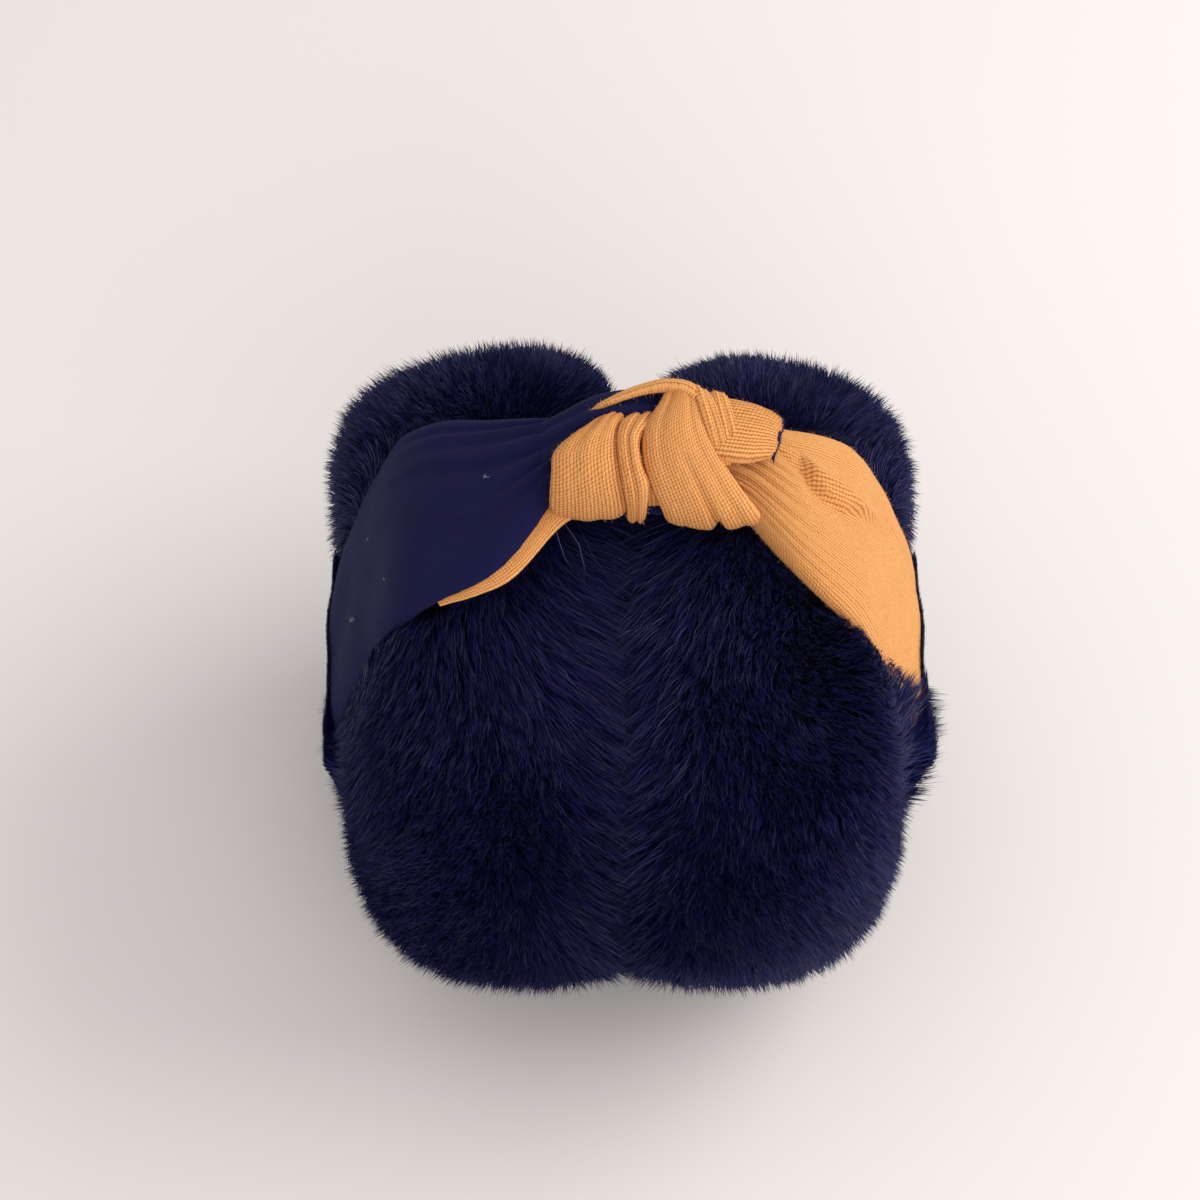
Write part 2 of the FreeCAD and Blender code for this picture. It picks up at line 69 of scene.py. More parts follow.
def arch_table():
    """Distances, headings and places along half of the arch."""
    breaks = [0.0]
    headings = [0.0]
    for radius, turn in ARCH_TURNS:
        headings.append(headings[-1] + turn)
        breaks.append(breaks[-1] + radius * math.radians(turn))
    breaks.append(breaks[-1] + SIDE_LENGTH)
    headings.append(headings[-1])
    breaks.append(breaks[-1] + END_RADIUS * math.radians(SIDE_TILT))
    headings.append(headings[-1] + SIDE_TILT)
    step = 0.1
    distance = np.arange(0.0, breaks[-1] + 25.0, step)
    heading = np.radians(np.interp(distance, breaks, headings))
    x = np.concatenate([[0.0], np.cumsum(np.cos(heading[:-1]) * step)])
    z = CROWN_HEIGHT - np.concatenate([[0.0], np.cumsum(np.sin(heading[:-1]) * step)])
    return breaks, distance, heading, x, z


BREAKS, ARCH_S, ARCH_H, ARCH_X, ARCH_Z = arch_table()
ARCH_END = BREAKS[-1]


def arch(distance, offset):
    """X and Z (mm above the pad centre) at a signed distance from the crown, outward by offset."""
    distance = np.asarray(distance, float)
    along = np.abs(distance)
    heading = np.interp(along, ARCH_S, ARCH_H)
    x = np.interp(along, ARCH_S, ARCH_X) + offset * np.sin(heading)
    z = np.interp(along, ARCH_S, ARCH_Z) + offset * np.cos(heading)
    return np.where(distance < 0, -x, x), z


def nearest_on_arch(x, z):
    """Distance along the arch and outward offset of points given by |x| and z."""
    stations = slice(0, len(ARCH_S), 8)
    sx, sz = ARCH_X[stations], ARCH_Z[stations]
    gap = (x[:, None] - sx[None, :]) ** 2 + (z[:, None] - sz[None, :]) ** 2
    index = np.argmin(gap, axis=1)
    heading = ARCH_H[stations][index]
    offset = (x - sx[index]) * np.sin(heading) + (z - sz[index]) * np.cos(heading)
    return ARCH_S[stations][index], offset, heading


def smoothstep(value, low, high):
    t = np.clip((np.asarray(value, float) - low) / (high - low), 0.0, 1.0)
    return t * t * (3.0 - 2.0 * t)


# ------------------------------------------------------------------ mesh helpers

def to_frame(x, y, z):
    """Millimetres about the pad centre line to metres in the row frame."""
    return np.stack([x * MM, y * MM, (z + PAD_HEIGHT) * MM], axis=-1)


def new_object(name, data):
    piece = bpy.data.objects.new(name, data)
    bpy.context.scene.collection.objects.link(piece)
    return piece


def mesh_object(name, points, polygons, material, smooth=True):
    mesh = bpy.data.meshes.new(name)
    mesh.from_pydata(points.reshape(-1, 3).tolist(), [], polygons)
    mesh.validate()
    mesh.polygons.foreach_set("use_smooth", [smooth] * len(mesh.polygons))
    mesh.materials.append(material)
    mesh.update()
    return new_object(name, mesh)


def pad_frame(side, points):
    """Points given in the right pad's own millimetres, mirrored for the left pad, in the row frame."""
    x, y, z = points.T
    return to_frame(SIGN[side] * x, y, z)


def ring_faces(rings, count, endless=False):
    """Faces of a tube of rings, each with the same number of points, with closed ends or joined to itself."""
    faces = []
    for i in range(rings if endless else rings - 1):
        a, b = i * count, (i + 1) % rings * count
        for j in range(count):
            k = (j + 1) % count
            faces.append((a + j, a + k, b + k, b + j))
    if not endless:
        faces.append(tuple(range(count - 1, -1, -1)))
        faces.append(tuple(range((rings - 1) * count, rings * count)))
    return faces


def add_attribute(piece, name, values):
    """Store one vector per point for a material to read."""
    layer = piece.data.attributes.new(name, "FLOAT_VECTOR", "POINT")
    layer.data.foreach_set("vector", np.asarray(values, np.float32).ravel())


def mark_cloth(piece, across, along):
    """Store where each point lies on its cloth (mm), for the knit and the jersey."""
    along = np.broadcast_to(along, across.shape)
    add_attribute(piece, "cloth", np.stack([across, along, np.zeros_like(across)], axis=-1))


def outward(piece):
    """Turn the faces so that the closed mesh has a positive volume."""
    mesh = piece.data
    co = np.empty(len(mesh.vertices) * 3)
    mesh.vertices.foreach_get("co", co)
    co = co.reshape(-1, 3)
    mesh.calc_loop_triangles()
    triangles = np.empty(len(mesh.loop_triangles) * 3, np.int32)
    mesh.loop_triangles.foreach_get("vertices", triangles)
    a, b, c = (co[triangles.reshape(-1, 3)[:, i]] for i in range(3))
    if np.einsum("ij,ij->i", a, np.cross(b, c)).sum() < 0:
        mesh.flip_normals()
    return piece


def attach(piece, body):
    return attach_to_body(piece, body)


# ------------------------------------------------------------------ materials

class Nodes:
    """Short hand for building one material's node tree."""

    def __init__(self, name, color, roughness):
        self.material = bpy.data.materials.new(name)
        self.material.use_nodes = True
        self.tree = self.material.node_tree
        self.shader = self.tree.nodes["Principled BSDF"]
        self.shader.inputs["Base Color"].default_value = (*color, 1.0)
        self.shader.inputs["Roughness"].default_value = roughness

    def add(self, kind, links=(), **settings):
        node = self.tree.nodes.new(kind)
        for key, value in settings.items():
            if key in node.inputs:
                node.inputs[key].default_value = value
            else:
                setattr(node, key, value)
        for target, source in links:
            self.tree.links.new(source, node.inputs[target])
        return node

    def math(self, operation, first, second=None):
        node = self.add("ShaderNodeMath", operation=operation)
        for index, value in enumerate((first, second)):
            if value is None:
                continue
            if isinstance(value, (int, float)):
                node.inputs[index].default_value = value
            else:
                self.tree.links.new(value, node.inputs[index])
        return node.outputs[0]

    def noise(self, vector, scale, detail=3.0, roughness=0.6):
        return self.add("ShaderNodeTexNoise", [("Vector", vector)],
                        Scale=scale, Detail=detail, Roughness=roughness).outputs["Fac"]

    def ramp(self, factor, stops):
        node = self.add("ShaderNodeValToRGB", [("Fac", factor)])
        elements = node.color_ramp.elements
        while len(elements) < len(stops):
            elements.new(0.5)
        for element, (position, color) in zip(elements, stops):
            element.position = position
            element.color = (*color, 1.0)
        return node.outputs["Color"]

    def place(self):
        return self.add("ShaderNodeTexCoord").outputs["Object"]

    def wave(self, value, pitch):
        return self.math("SINE", self.math("MULTIPLY", value, math.pi / pitch))

    def blend(self, *terms):
        """Sum of (socket, weight) terms."""
        total = None
        for socket, weight in terms:
            part = self.math("MULTIPLY", socket, weight)
            total = part if total is None else self.math("ADD", total, part)
        return total

    def color_from(self, factor, stops):
        self.tree.links.new(self.ramp(factor, stops), self.shader.inputs["Base Color"])

    def bump_from(self, height, strength, distance):
        node = self.add("ShaderNodeBump", [("Height", height)], Strength=strength, Distance=distance)
        self.tree.links.new(node.outputs["Normal"], self.shader.inputs["Normal"])

    def sheen(self, weight, roughness, tint, specular):
        for socket, value in (("Sheen Weight", weight), ("Sheen Roughness", roughness),
                              ("Sheen Tint", (*tint, 1.0)), ("Specular IOR Level", specular)):
            self.shader.inputs[socket].default_value = value


def cloth_coordinates(nodes):
    """Across and along the cloth, in millimetres, from the mesh."""
    attribute = nodes.add("ShaderNodeAttribute", attribute_name="cloth")
    split = nodes.add("ShaderNodeSeparateXYZ", [("Vector", attribute.outputs["Vector"])])
    return attribute.outputs["Vector"], split.outputs["X"], split.outputs["Y"]


# Widths (mm) of one rib and one stitch of the mustard knit, and of the jersey's weave.
RIB_PITCH = 0.74
STITCH_PITCH = 0.62
WEAVE_PITCH = (0.45, 0.55)
# How far a row of stitches climbs across the cloth.
STITCH_SLANT = 0.35
PLAIN_SPECULAR = 0.5


def mustard_knit():
    """Fine ribbed knit with the ribs' shading painted into its colour: dark orange painted shade between the
    ribs, paler painted light and pale fuzz on their crowns.
    """
    nodes = Nodes("mustard_knit", (0.72, 0.37, 0.10), 0.9)
    vector, across, along = cloth_coordinates(nodes)
    waver = nodes.math("MULTIPLY", nodes.noise(vector, 1.1, 4.0), 0.55)
    rib_relief_and_shade = nodes.math("ABSOLUTE", nodes.wave(nodes.math("ADD", across, waver), RIB_PITCH))
    slant = nodes.math("ADD", along, nodes.math("MULTIPLY", across, STITCH_SLANT))
    stitch = nodes.math("ABSOLUTE", nodes.wave(slant, STITCH_PITCH))
    fuzz = nodes.noise(vector, 3.0, 6.0, 0.80)
    cloud = nodes.noise(vector, 0.12, 3.0)
    # The rib wave in the colour is painted shade between the ribs and painted light on their crowns; the same
    # wave also drives the rib bump.
    tone = nodes.blend((rib_relief_and_shade, 0.46), (stitch, 0.22), (fuzz, 0.66), (cloud, 0.14))
    nodes.color_from(tone, [(0.42, (0.27, 0.075, 0.017)), (0.74, (0.59, 0.222, 0.060)),
                            (1.0, (0.80, 0.41, 0.145))])
    nodes.bump_from(nodes.math("ADD", nodes.blend((stitch, 0.35), (fuzz, 0.9)), rib_relief_and_shade), 0.55, 0.00022)
    nodes.sheen(0.08, 0.5, (1.0, 0.70, 0.40), 0.2)
    return nodes.material


def navy_jersey():
    """Dark brushed jersey with a faint grain and a soft bloom."""
    nodes = Nodes("navy_jersey", (0.009, 0.010, 0.042), 0.95)
    vector, across, along = cloth_coordinates(nodes)
    weave = nodes.math("MULTIPLY", nodes.wave(across, WEAVE_PITCH[0]), nodes.wave(along, WEAVE_PITCH[1]))
    fuzz = nodes.noise(vector, 1.3, 7.0, 0.75)
    cloud = nodes.noise(vector, 0.07, 3.0)
    nodes.color_from(nodes.blend((fuzz, 0.7), (cloud, 0.4)),
                     [(0.3, (0.0040, 0.0042, 0.030)), (0.62, (0.0070, 0.0072, 0.050)),
                      (0.85, (0.018, 0.018, 0.075))])
    nodes.bump_from(nodes.math("ADD", nodes.math("MULTIPLY", weave, 0.5), fuzz), 0.5, 0.0002)
    nodes.sheen(0.03, 0.5, (0.40, 0.45, 0.85), 0.15)
    return nodes.material


def fur_fibre(name, color, roughness):
    """Shiny dyed acrylic fibre."""
    nodes = Nodes(name, color, roughness)
    nodes.shader.inputs["Specular Tint"].default_value = (0.62, 0.66, 1.0, 1.0)
    nodes.sheen(0.05, 0.35, (0.40, 0.45, 0.95), 0.3)
    return nodes.material


def plush():
    """Short cropped plush on the ear side."""
    nodes = Nodes("short_plush", (0.012, 0.013, 0.042), 1.0)
    place = nodes.place()
    grain = nodes.noise(place, 1400.0, 5.0, 0.7)
    patch = nodes.noise(place, 90.0, 3.0)
    nodes.color_from(nodes.blend((grain, 0.7), (patch, 0.4)),
                     [(0.35, (0.004, 0.004, 0.018)), (0.75, (0.022, 0.024, 0.07))])
    nodes.bump_from(grain, 0.8, 0.0007)
    nodes.sheen(0.3, 0.5, (0.4, 0.45, 0.8), PLAIN_SPECULAR)
    return nodes.material


def moulded_plastic(name, color):
    """Plastic with faint clouds of colour and a fine moulded grain."""
    nodes = Nodes(name, color, 0.5)
    place = nodes.place()
    shade = tuple(channel * 1.6 + 0.004 for channel in color)
    nodes.color_from(nodes.noise(place, 60.0), [(0.3, color), (0.7, shade)])
    nodes.bump_from(nodes.noise(place, 2500.0, 4.0), 0.25, 0.0001)
    return nodes.material


def metal(name, color, roughness, scale):
    """Brushed metal, its grain drawn out upwards."""
    nodes = Nodes(name, color, roughness)
    nodes.shader.inputs["Metallic"].default_value = 1.0
    streak = nodes.add("ShaderNodeMapping", [("Vector", nodes.place())], Scale=(scale, scale, scale * 0.05))
    grain = nodes.noise(streak.outputs["Vector"], 1.0, 4.0)
    nodes.color_from(grain, [(0.3, tuple(channel * 0.75 for channel in color)), (0.7, color)])
    nodes.bump_from(grain, 0.2, 0.00005)
    return nodes.material


def grainy(name, low, high, noise, bump=None, roughness=1.0):
    """Two close shades mixed by a noise (scale, detail, roughness), with a bump of the same grain if given."""
    nodes = Nodes(name, high, roughness)
    grain = nodes.noise(nodes.place(), *noise)
    nodes.color_from(grain, [(0.3, low), (0.7, high)])
    if bump:
        nodes.bump_from(grain, *bump)
    return nodes.material


MUSTARD = mustard_knit()
NAVY = navy_jersey()
BACKING = grainy("fur_backing", (0.0015, 0.0015, 0.006), (0.006, 0.007, 0.022), (900.0, 4.0), (0.6, 0.0006))
PLUSH = plush()
FUR_TONES = {
    "deep": fur_fibre("fur_deep", (0.0034, 0.0040, 0.046), 0.6),
    "navy": fur_fibre("fur_navy", (0.0050, 0.0058, 0.068), 0.55),
    "guard": fur_fibre("fur_guard", (0.024, 0.024, 0.076), 0.40),
}
MUSTARD_FUZZ = fur_fibre("mustard_fuzz", (0.82, 0.46, 0.18), 0.9)
NAVY_FUZZ = fur_fibre("navy_fuzz", (0.022, 0.023, 0.070), 0.9)
FILLING = grainy("polyester_fill", (0.624, 0.616, 0.592), (0.78, 0.77, 0.74), (500.0, 6.0, 0.7),
                 (0.6, 0.0008))
CORD = grainy("elastic_cord", (0.016, 0.016, 0.028), (0.02, 0.02, 0.035), (1800.0, 6.0, 0.7), (0.6, 0.0008))
FLOOR = grainy("floor_card", (0.80, 0.762, 0.748), (0.82, 0.785, 0.77), (3.0, 2.0), roughness=0.9)


# ------------------------------------------------------------------ fur

# Half outlines of one pad (x from the ear face, radius) in millimetres: pile, backing, plush disc, filling.
FUR_OUTLINE = [(0.0, 34.0), (0.0, 48.0), (0.2, 56.5), (4.5, 61.2), (12.5, 63.3), (24.0, 63.4), (33.6, 62.0),
               (42.4, 58.0), (49.2, 51.0), (53.2, 41.5), (54.6, 30.0), (54.9, 14.0), (54.9, 0.0)]
FUR_SKIN = [(0.9, 34.0), (1.6, 43.0), (4.5, 50.0), (9.0, 54.8), (16.0, 57.0), (26.0, 57.2), (35.0, 55.4),
            (42.5, 50.5), (47.5, 44.0), (51.0, 34.0), (52.6, 20.0), (52.8, 0.0)]
EAR_PLUSH_PROFILE = [(5.6, 0.02), (5.6, 20.0), (5.6, 34.2), (4.6, 35.4), (3.2, 35.4), (2.1, 34.4),
                     (1.8, 22.0), (1.7, 10.0), (1.7, 0.02)]
WADDING_PROFILE = [(9.4, 0.02), (9.4, 20.0), (9.4, 37.0), (12.0, 43.6), (18.0, 46.8), (30.0, 46.8),
                   (34.0, 44.5), (36.5, 40.0), (41.6, 35.5), (42.0, 20.0), (42.0, 0.02)]
LINE_POINTS = 200
# Name, blade width (mm), share of the full length, tone.
FUR_PIECES = [("under_fur", 0.40, 0.80, "deep"), ("pile", 0.32, 0.93, "navy"),
              ("long_pile", 0.26, 0.98, "deep"), ("guard_hair", 0.20, 1.04, "guard")]
STRANDS_PER_PIECE = 38500
PLUSH_STRANDS = 16000
LEADERS = 5200
# The pads aren't quite alike: how they open backwards, and how their back halves move out and down (mm).
PAD_SPLAY = {"left": 0.008, "right": 0.020}
BACK_BULGE = {"left": 5.2, "right": 3.0}
BACK_NOTCH = {"left": 3.5, "right": 6.0}
BACK_DROP = {"left": 0.0, "right": 2.2}
# Pile by the band's end: how far it covers the band (mm) along the arch, its height there, and its comb.
END_COVER = {"left": [(70.0, 0.0), (90.0, 3.0)],
             "right": [(50.0, 0.0), (62.0, 1.5), (75.0, 5.0), (88.0, 10.0)]}
COVER_HEIGHT = 5.0
COVER_COMB = {"left": 0.45, "right": 1.0}
END_TUFT = {"left": 0.35, "right": 0.8}
END_LIFT = {"left": 0.7, "right": 1.0}
END_REACH = {"left": 4.5, "right": 6.5}
# Slope of the pile that the band presses down beside it.
PRESSED_SLOPE = {"front": 0.12, "back": 1.10}
# Longer pile round the band's end: strands in each half, and how high (mm) and how far out they reach.
TUFT_STRANDS = 14000
TUFT_TOP = [(-22.0, 13.0), (-12.0, 15.5), (2.0, 14.0), (14.0, 12.5), (22.0, 9.5)]
TUFT_FRONT_TOP = {"left": 5.0, "right": 11.5}
TUFT_STAND = {"left": 0.6, "right": 2.6}
# Lays of the plaited cord in one round of the pad.
CORD_LAYS = 46
# Points trimmed at a time, to keep the distance tables small.
TRIM_BLOCK = 20000


def smooth_profile(corners, count):
    """Even points on a smooth line through the corners."""
    corners = np.asarray(corners, float)
    knots = np.linspace(0.0, 1.0, len(corners))
    fine = np.linspace(0.0, 1.0, 400)
    line = np.stack([np.interp(fine, knots, corners[:, i]) for i in range(2)], axis=1)
    for _ in range(40):
        line[1:-1] = (line[:-2] + 2 * line[1:-1] + line[2:]) / 4
    lengths = np.concatenate([[0.0], np.cumsum(np.linalg.norm(np.diff(line, axis=0), axis=1))])
    targets = np.linspace(0.0, lengths[-1], count)
    return np.stack([np.interp(targets, lengths, line[:, i]) for i in range(2)], axis=1)


SKIN_LINE = smooth_profile(FUR_SKIN, LINE_POINTS)
OUTLINE = smooth_profile(FUR_OUTLINE, LINE_POINTS)


def over_band_end(distance, offset):
    """The pile may lie over the last stretch of the band, where its end goes into the fur."""
    return (distance > ARCH_END - 15.0) & (offset > 4.4)


def keep_off_band(points, side, rng, rise=5.6, cover_front=True):
    """Move points of the right pad (mm) out of the space that the band takes."""
    x, y, z = points[:, 0], points[:, 1], points[:, 2]
    distance, offset, heading = nearest_on_arch(x, z)
    front, back = band_edges(side, distance)
    half, middle = (back - front) / 2, (back + front) / 2
    shift = y - middle
    inside = (np.abs(shift) < half + 0.4) & (offset > -3.4) & (offset < rise)
    inside &= (distance < ARCH_END - 3.0) & ~over_band_end(distance, offset)
    cover = np.interp(distance, *zip(*END_COVER[side]))
    over = inside & (y > front) & (y < front + cover) & cover_front
    rise_over = COVER_HEIGHT * np.sqrt(np.clip((y - front) / 7.0, 0.12, 1.0))
    lift = np.maximum(rise_over + rng.random(len(x)) - offset, 0.0)[over]
    x[over] += lift * np.sin(heading[over])
    z[over] += lift * np.cos(heading[over])
    inside &= ~over
    under = inside & (np.abs(shift) < half * 0.72) & (offset < 4.0)
    beside = inside & ~under
    y[beside] = (middle + np.sign(shift) * (half + 0.5 + rng.random(len(x))))[beside]
    drop = (offset + 3.7)[under]
    x[under] -= drop * np.sin(heading[under])
    z[under] -= drop * np.cos(heading[under])
    return points


def press_beside_band(points, side, rng):
    """The pile next to the band is pressed down to about the band's own height."""
    x, y, z = points[:, 0], points[:, 1], points[:, 2]
    distance, offset, heading = nearest_on_arch(x, z)
    front, back = band_edges(side, distance)
    away = np.maximum(np.maximum(front - y, y - back), 0.0)
    slope = np.where(y < 0.0, PRESSED_SLOPE["front"], PRESSED_SLOPE["back"])
    allowed = 1.6 + slope * away + 1.4 * rng.random(len(x)) ** 2
    free = (distance > ARCH_END - 5.0) | (over_band_end(distance, offset) & (away < 1.0))
    drop = np.where(free, 0.0, np.maximum(offset - allowed, 0.0))
    x -= drop * np.sin(heading)
    z -= drop * np.cos(heading)
    return points


def blade_mesh(name, roots, bends, tips, width, rng, material):
    """Thin tapered blades, one for each strand, along a bent line from root to tip."""
    count = len(roots)
    stations = np.array([0.0, 0.4, 0.75, 1.0])
    taper = np.array([0.75, 1.0, 0.62])
    line = [((1 - t) ** 2) * roots + 2 * t * (1 - t) * bends + t * t * tips for t in stations]
    run = tips - roots
    spin = rng.normal(size=(count, 3))
    across = np.cross(run, spin)
    across /= np.linalg.norm(across, axis=1)[:, None] + 1e-9
    half = width[:, None] * across / 2
    points = np.empty((count, 7, 3))
    for index in range(3):
        points[:, index * 2] = line[index] - half * taper[index]
        points[:, index * 2 + 1] = line[index] + half * taper[index]
    points[:, 6] = line[3]
    base = (np.arange(count) * 7)[:, None]
    loops = np.array([0, 1, 3, 2, 2, 3, 5, 4, 4, 5, 6])
    loop_index = (base + loops[None, :]).ravel()
    starts = (np.arange(count) * 11)[:, None] + np.array([0, 4, 8])[None, :]
    mesh = bpy.data.meshes.new(name)
    mesh.vertices.add(count * 7)
    mesh.loops.add(count * 11)
    mesh.polygons.add(count * 3)
    mesh.vertices.foreach_set("co", points.astype(np.float32).ravel())
    mesh.loops.foreach_set("vertex_index", loop_index.astype(np.int32))
    mesh.polygons.foreach_set("loop_start", starts.astype(np.int32).ravel())
    mesh.polygons.foreach_set("use_smooth", np.ones(count * 3, bool))
    mesh.materials.append(material)
    mesh.update(calc_edges=True)
    mesh.validate()
    return new_object(name, mesh)


def wander(points, scale, seed):
    """Smooth vector field that varies slowly over the pad."""
    rng = np.random.default_rng(seed)
    field = np.zeros_like(points)
    for _ in range(5):
        wave = rng.normal(size=(3, 3)) / scale
        phase = rng.random(3) * 2 * math.pi
        field += np.sin(points @ wave + phase)
    return field / 5 ** 0.5


def trim_to_outline(points, allowed):
    """Pull points that stand further out of the pad's outline than allowed (mm) back to it."""
    line = OUTLINE[::2]
    slope = np.gradient(line, axis=0)
    normal = np.stack([-slope[:, 1], slope[:, 0]], axis=1)
    normal /= np.linalg.norm(normal, axis=1)[:, None]
    radius = np.hypot(points[:, 1], points[:, 2])
    for first in range(0, len(points), TRIM_BLOCK):
        block = slice(first, first + TRIM_BLOCK)
        x, r = points[block, 0], radius[block]
        gap = (x[:, None] - line[None, :, 0]) ** 2 + (r[:, None] - line[None, :, 1]) ** 2
        index = np.argmin(gap, axis=1)
        excess = (x - line[index, 0]) * normal[index, 0] + (r - line[index, 1]) * normal[index, 1]
        pull = np.maximum(excess - allowed[block], 0.0)
        points[block, 0] -= pull * normal[index, 0]
        scale = (r - pull * normal[index, 1]) / np.maximum(r, 1e-6)
        points[block, 1] *= scale
        points[block, 2] *= scale
    return points


def settle_shape(points, side):
    """The pads stand a little open towards the back, with a rounded notch between them there."""
    x, y = points[:, 0], points[:, 1]
    hold = np.where(y < 0, smoothstep(x, 0.0, 30.0), 1.0)
    x += PAD_SPLAY[side] * np.clip(y, -35.0, 35.0) * hold
    x += BACK_BULGE[side] * smoothstep(y, 12.0, 42.0) * smoothstep(x, 28.0, 50.0)
    x += BACK_NOTCH[side] * smoothstep(y, 12.0, 56.0) * (1.0 - smoothstep(x, 6.0, 28.0))
    y -= BACK_DROP[side] * smoothstep(y, 10.0, 60.0)
    return points


def pile_roots(side, rng, total):
    """Roots on the backing, the outward direction and the depth of the pile at each, in millimetres."""
    wanted = int(total * 1.35)
    weights = SKIN_LINE[:-1, 1] + 2.0
    choice = np.sort(rng.choice(LINE_POINTS - 1, size=wanted, p=weights / weights.sum()))
    rng.shuffle(choice)
    part = choice + rng.random(wanted)
    angle = rng.random(wanted) * 2 * math.pi

    def round_axis(line):
        x, radius = (np.interp(part, np.arange(LINE_POINTS), line[:, i]) for i in range(2))
        return np.stack([x, radius * np.cos(angle), radius * np.sin(angle)], axis=1)

    roots = round_axis(SKIN_LINE)
    out = round_axis(OUTLINE) - roots
    height = np.linalg.norm(out, axis=1)
    out /= height[:, None] + 1e-9
    distance, offset, _ = nearest_on_arch(roots[:, 0], roots[:, 2])
    front, back = band_edges(side, distance)
    covered = (roots[:, 1] > front + 5.0) & (roots[:, 1] < back - 5.0) & (offset > -6.0)
    covered &= (distance < ARCH_END - 1.0)
    keep = np.flatnonzero(~covered)[:total]
    return roots[keep], out[keep], height[keep]


def comb_field(side, roots, out, seed):
    """Which way the pile leans at each root, and how near each root is to the band's end."""
    x, y, z = roots.T
    comb = np.zeros_like(roots)
    ear_rim = (1.0 - smoothstep(x, 3.0, 15.0)) * smoothstep(y, 40.0, 15.0)
    comb[:, 0] = 0.024 * (x - 22.0) - 0.6 * ear_rim
    radial = roots * np.array([0.0, 1.0, 1.0])
    radial /= np.linalg.norm(radial, axis=1)[:, None] + 1e-9
    face = smoothstep(x, 46.0, 56.0)[:, None]
    ear = (1.0 - smoothstep(x, 1.0, 9.0))[:, None]
    comb += radial * (0.2 * face + 0.9 * ear)
    comb[:, 2] -= 0.45
    comb[:, 1] -= 0.70 * smoothstep(y, 30.0, -10.0)
    comb[:, 0] += 0.30 * smoothstep(x, 8.0, 22.0)
    comb += 0.42 * wander(roots, 20.0, seed + 1)
    comb += 0.16 * wander(roots, 7.0, seed + 2)
    comb -= out * np.einsum("ij,ij->i", comb, out)[:, None]
    near_end = smoothstep(np.abs(y + 14.0), 13.0, 6.0) * smoothstep(x, 46.0, 51.0)
    near_end *= smoothstep(z, -14.0, -8.0) * smoothstep(z, 10.0, 6.0)
    beside_end = smoothstep(np.abs(y + 26.0), 9.0, 4.0) * smoothstep(x, 40.0, 46.0)
    beside_end *= smoothstep(z, -6.0, 2.0) * smoothstep(z, 34.0, 20.0)
    comb += beside_end[:, None] * np.array([0.35, 1.5, 0.2]) * COVER_COMB[side]
    comb += near_end[:, None] * np.array([END_TUFT[side], 0.0, END_LIFT[side]])
    return comb, near_end


def clump(roots, tips, rng):
    """Draw each strand's tip some way towards that of the nearest leading strand."""
    leaders = rng.choice(len(roots), size=LEADERS, replace=False)
    tree = kdtree.KDTree(LEADERS)
    for index, leader in enumerate(leaders):
        tree.insert(roots[leader], index)
    tree.balance()
    owner = leaders[[tree.find(root)[1] for root in roots]]
    pull = (0.12 + 0.33 * rng.random(len(roots)))[:, None]
    return tips * (1 - pull) + tips[owner] * pull


def grow_fur(side):
    """All the strands of one pad: roots, bends and tips in the row frame."""
    seed = 11 if side == "left" else 23
    rng = np.random.default_rng(seed)
    roots, out, height = pile_roots(side, rng, STRANDS_PER_PIECE * len(FUR_PIECES))
    comb, near_end = comb_field(side, roots, out, seed)
    reach = height + 1.0 + 1.0 * rng.random(len(roots))
    tips = roots + out * reach[:, None] + comb * (6.0 + 2.5 * rng.random(len(roots)))[:, None]
    tips += rng.normal(size=roots.shape) * 0.75
    tips = clump(roots, tips, rng)
    bends = roots + out * (reach * 0.72)[:, None] + comb * 1.8
    trim_to_outline(bends, np.full(len(bends), -0.6))
    trim_to_outline(tips, 0.1 + 3.0 * rng.random(len(tips)) ** 2.2 + END_REACH[side] * near_end)
    for points in (roots, bends, tips):
        settle_shape(points, side)
    for points, share in ((bends, 0.5), (tips, 1.0)):
        mingle = smoothstep(points[:, 1], 18.0, -15.0) * (1.0 - smoothstep(points[:, 0], 3.0, 17.0))
        points[:, 0] -= share * mingle * (2.0 + 4.4 * rng.random(len(points)))
    for points in (bends, tips):
        points[:, 0] = np.maximum(points[:, 0], -3.4 * rng.random(len(points)))
        press_beside_band(points, side, rng)
        keep_off_band(points, side, rng, rise=9.0)
        points[:, 2] = np.maximum(points[:, 2], -PAD_HEIGHT + 0.3)
    return [pad_frame(side, points) for points in (roots, bends, tips)], rng


def revolve(line, turns):
    """Points of a line (x, radius) turned about the pad's axis."""
    angle = np.arange(turns) / turns * 2 * math.pi
    x = np.repeat(line[:, 0], turns)
    y = (line[:, 1][:, None] * np.cos(angle)[None, :]).ravel()
    z = (line[:, 1][:, None] * np.sin(angle)[None, :]).ravel()
    return np.stack([x, y, z], axis=1)


def pad_skin(side):
    """Backing of the fur cover, pressed in under the band."""
    line = smooth_profile(FUR_SKIN, 60)
    inner = np.stack([np.clip(line[:, 0], 2.0, 51.6), np.maximum(line[:, 1] - 1.2, 0.0)], axis=1)
    rings = np.concatenate([line[:-1], inner[::-1][1:]])
    turns = 192
    points = settle_shape(revolve(rings, turns), side)
    points = keep_off_band(points, side, np.random.default_rng(5), rise=4.0, cover_front=False)
    points[:, 2] = np.maximum(points[:, 2], -PAD_HEIGHT + 0.5)
    faces = ring_faces(len(rings), turns, endless=True)
    piece = outward(mesh_object(side + "_fur_backing", pad_frame(side, points), faces, BACKING))
    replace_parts(piece, side + "_fur_cover")
    attach(piece, side + "_pad")


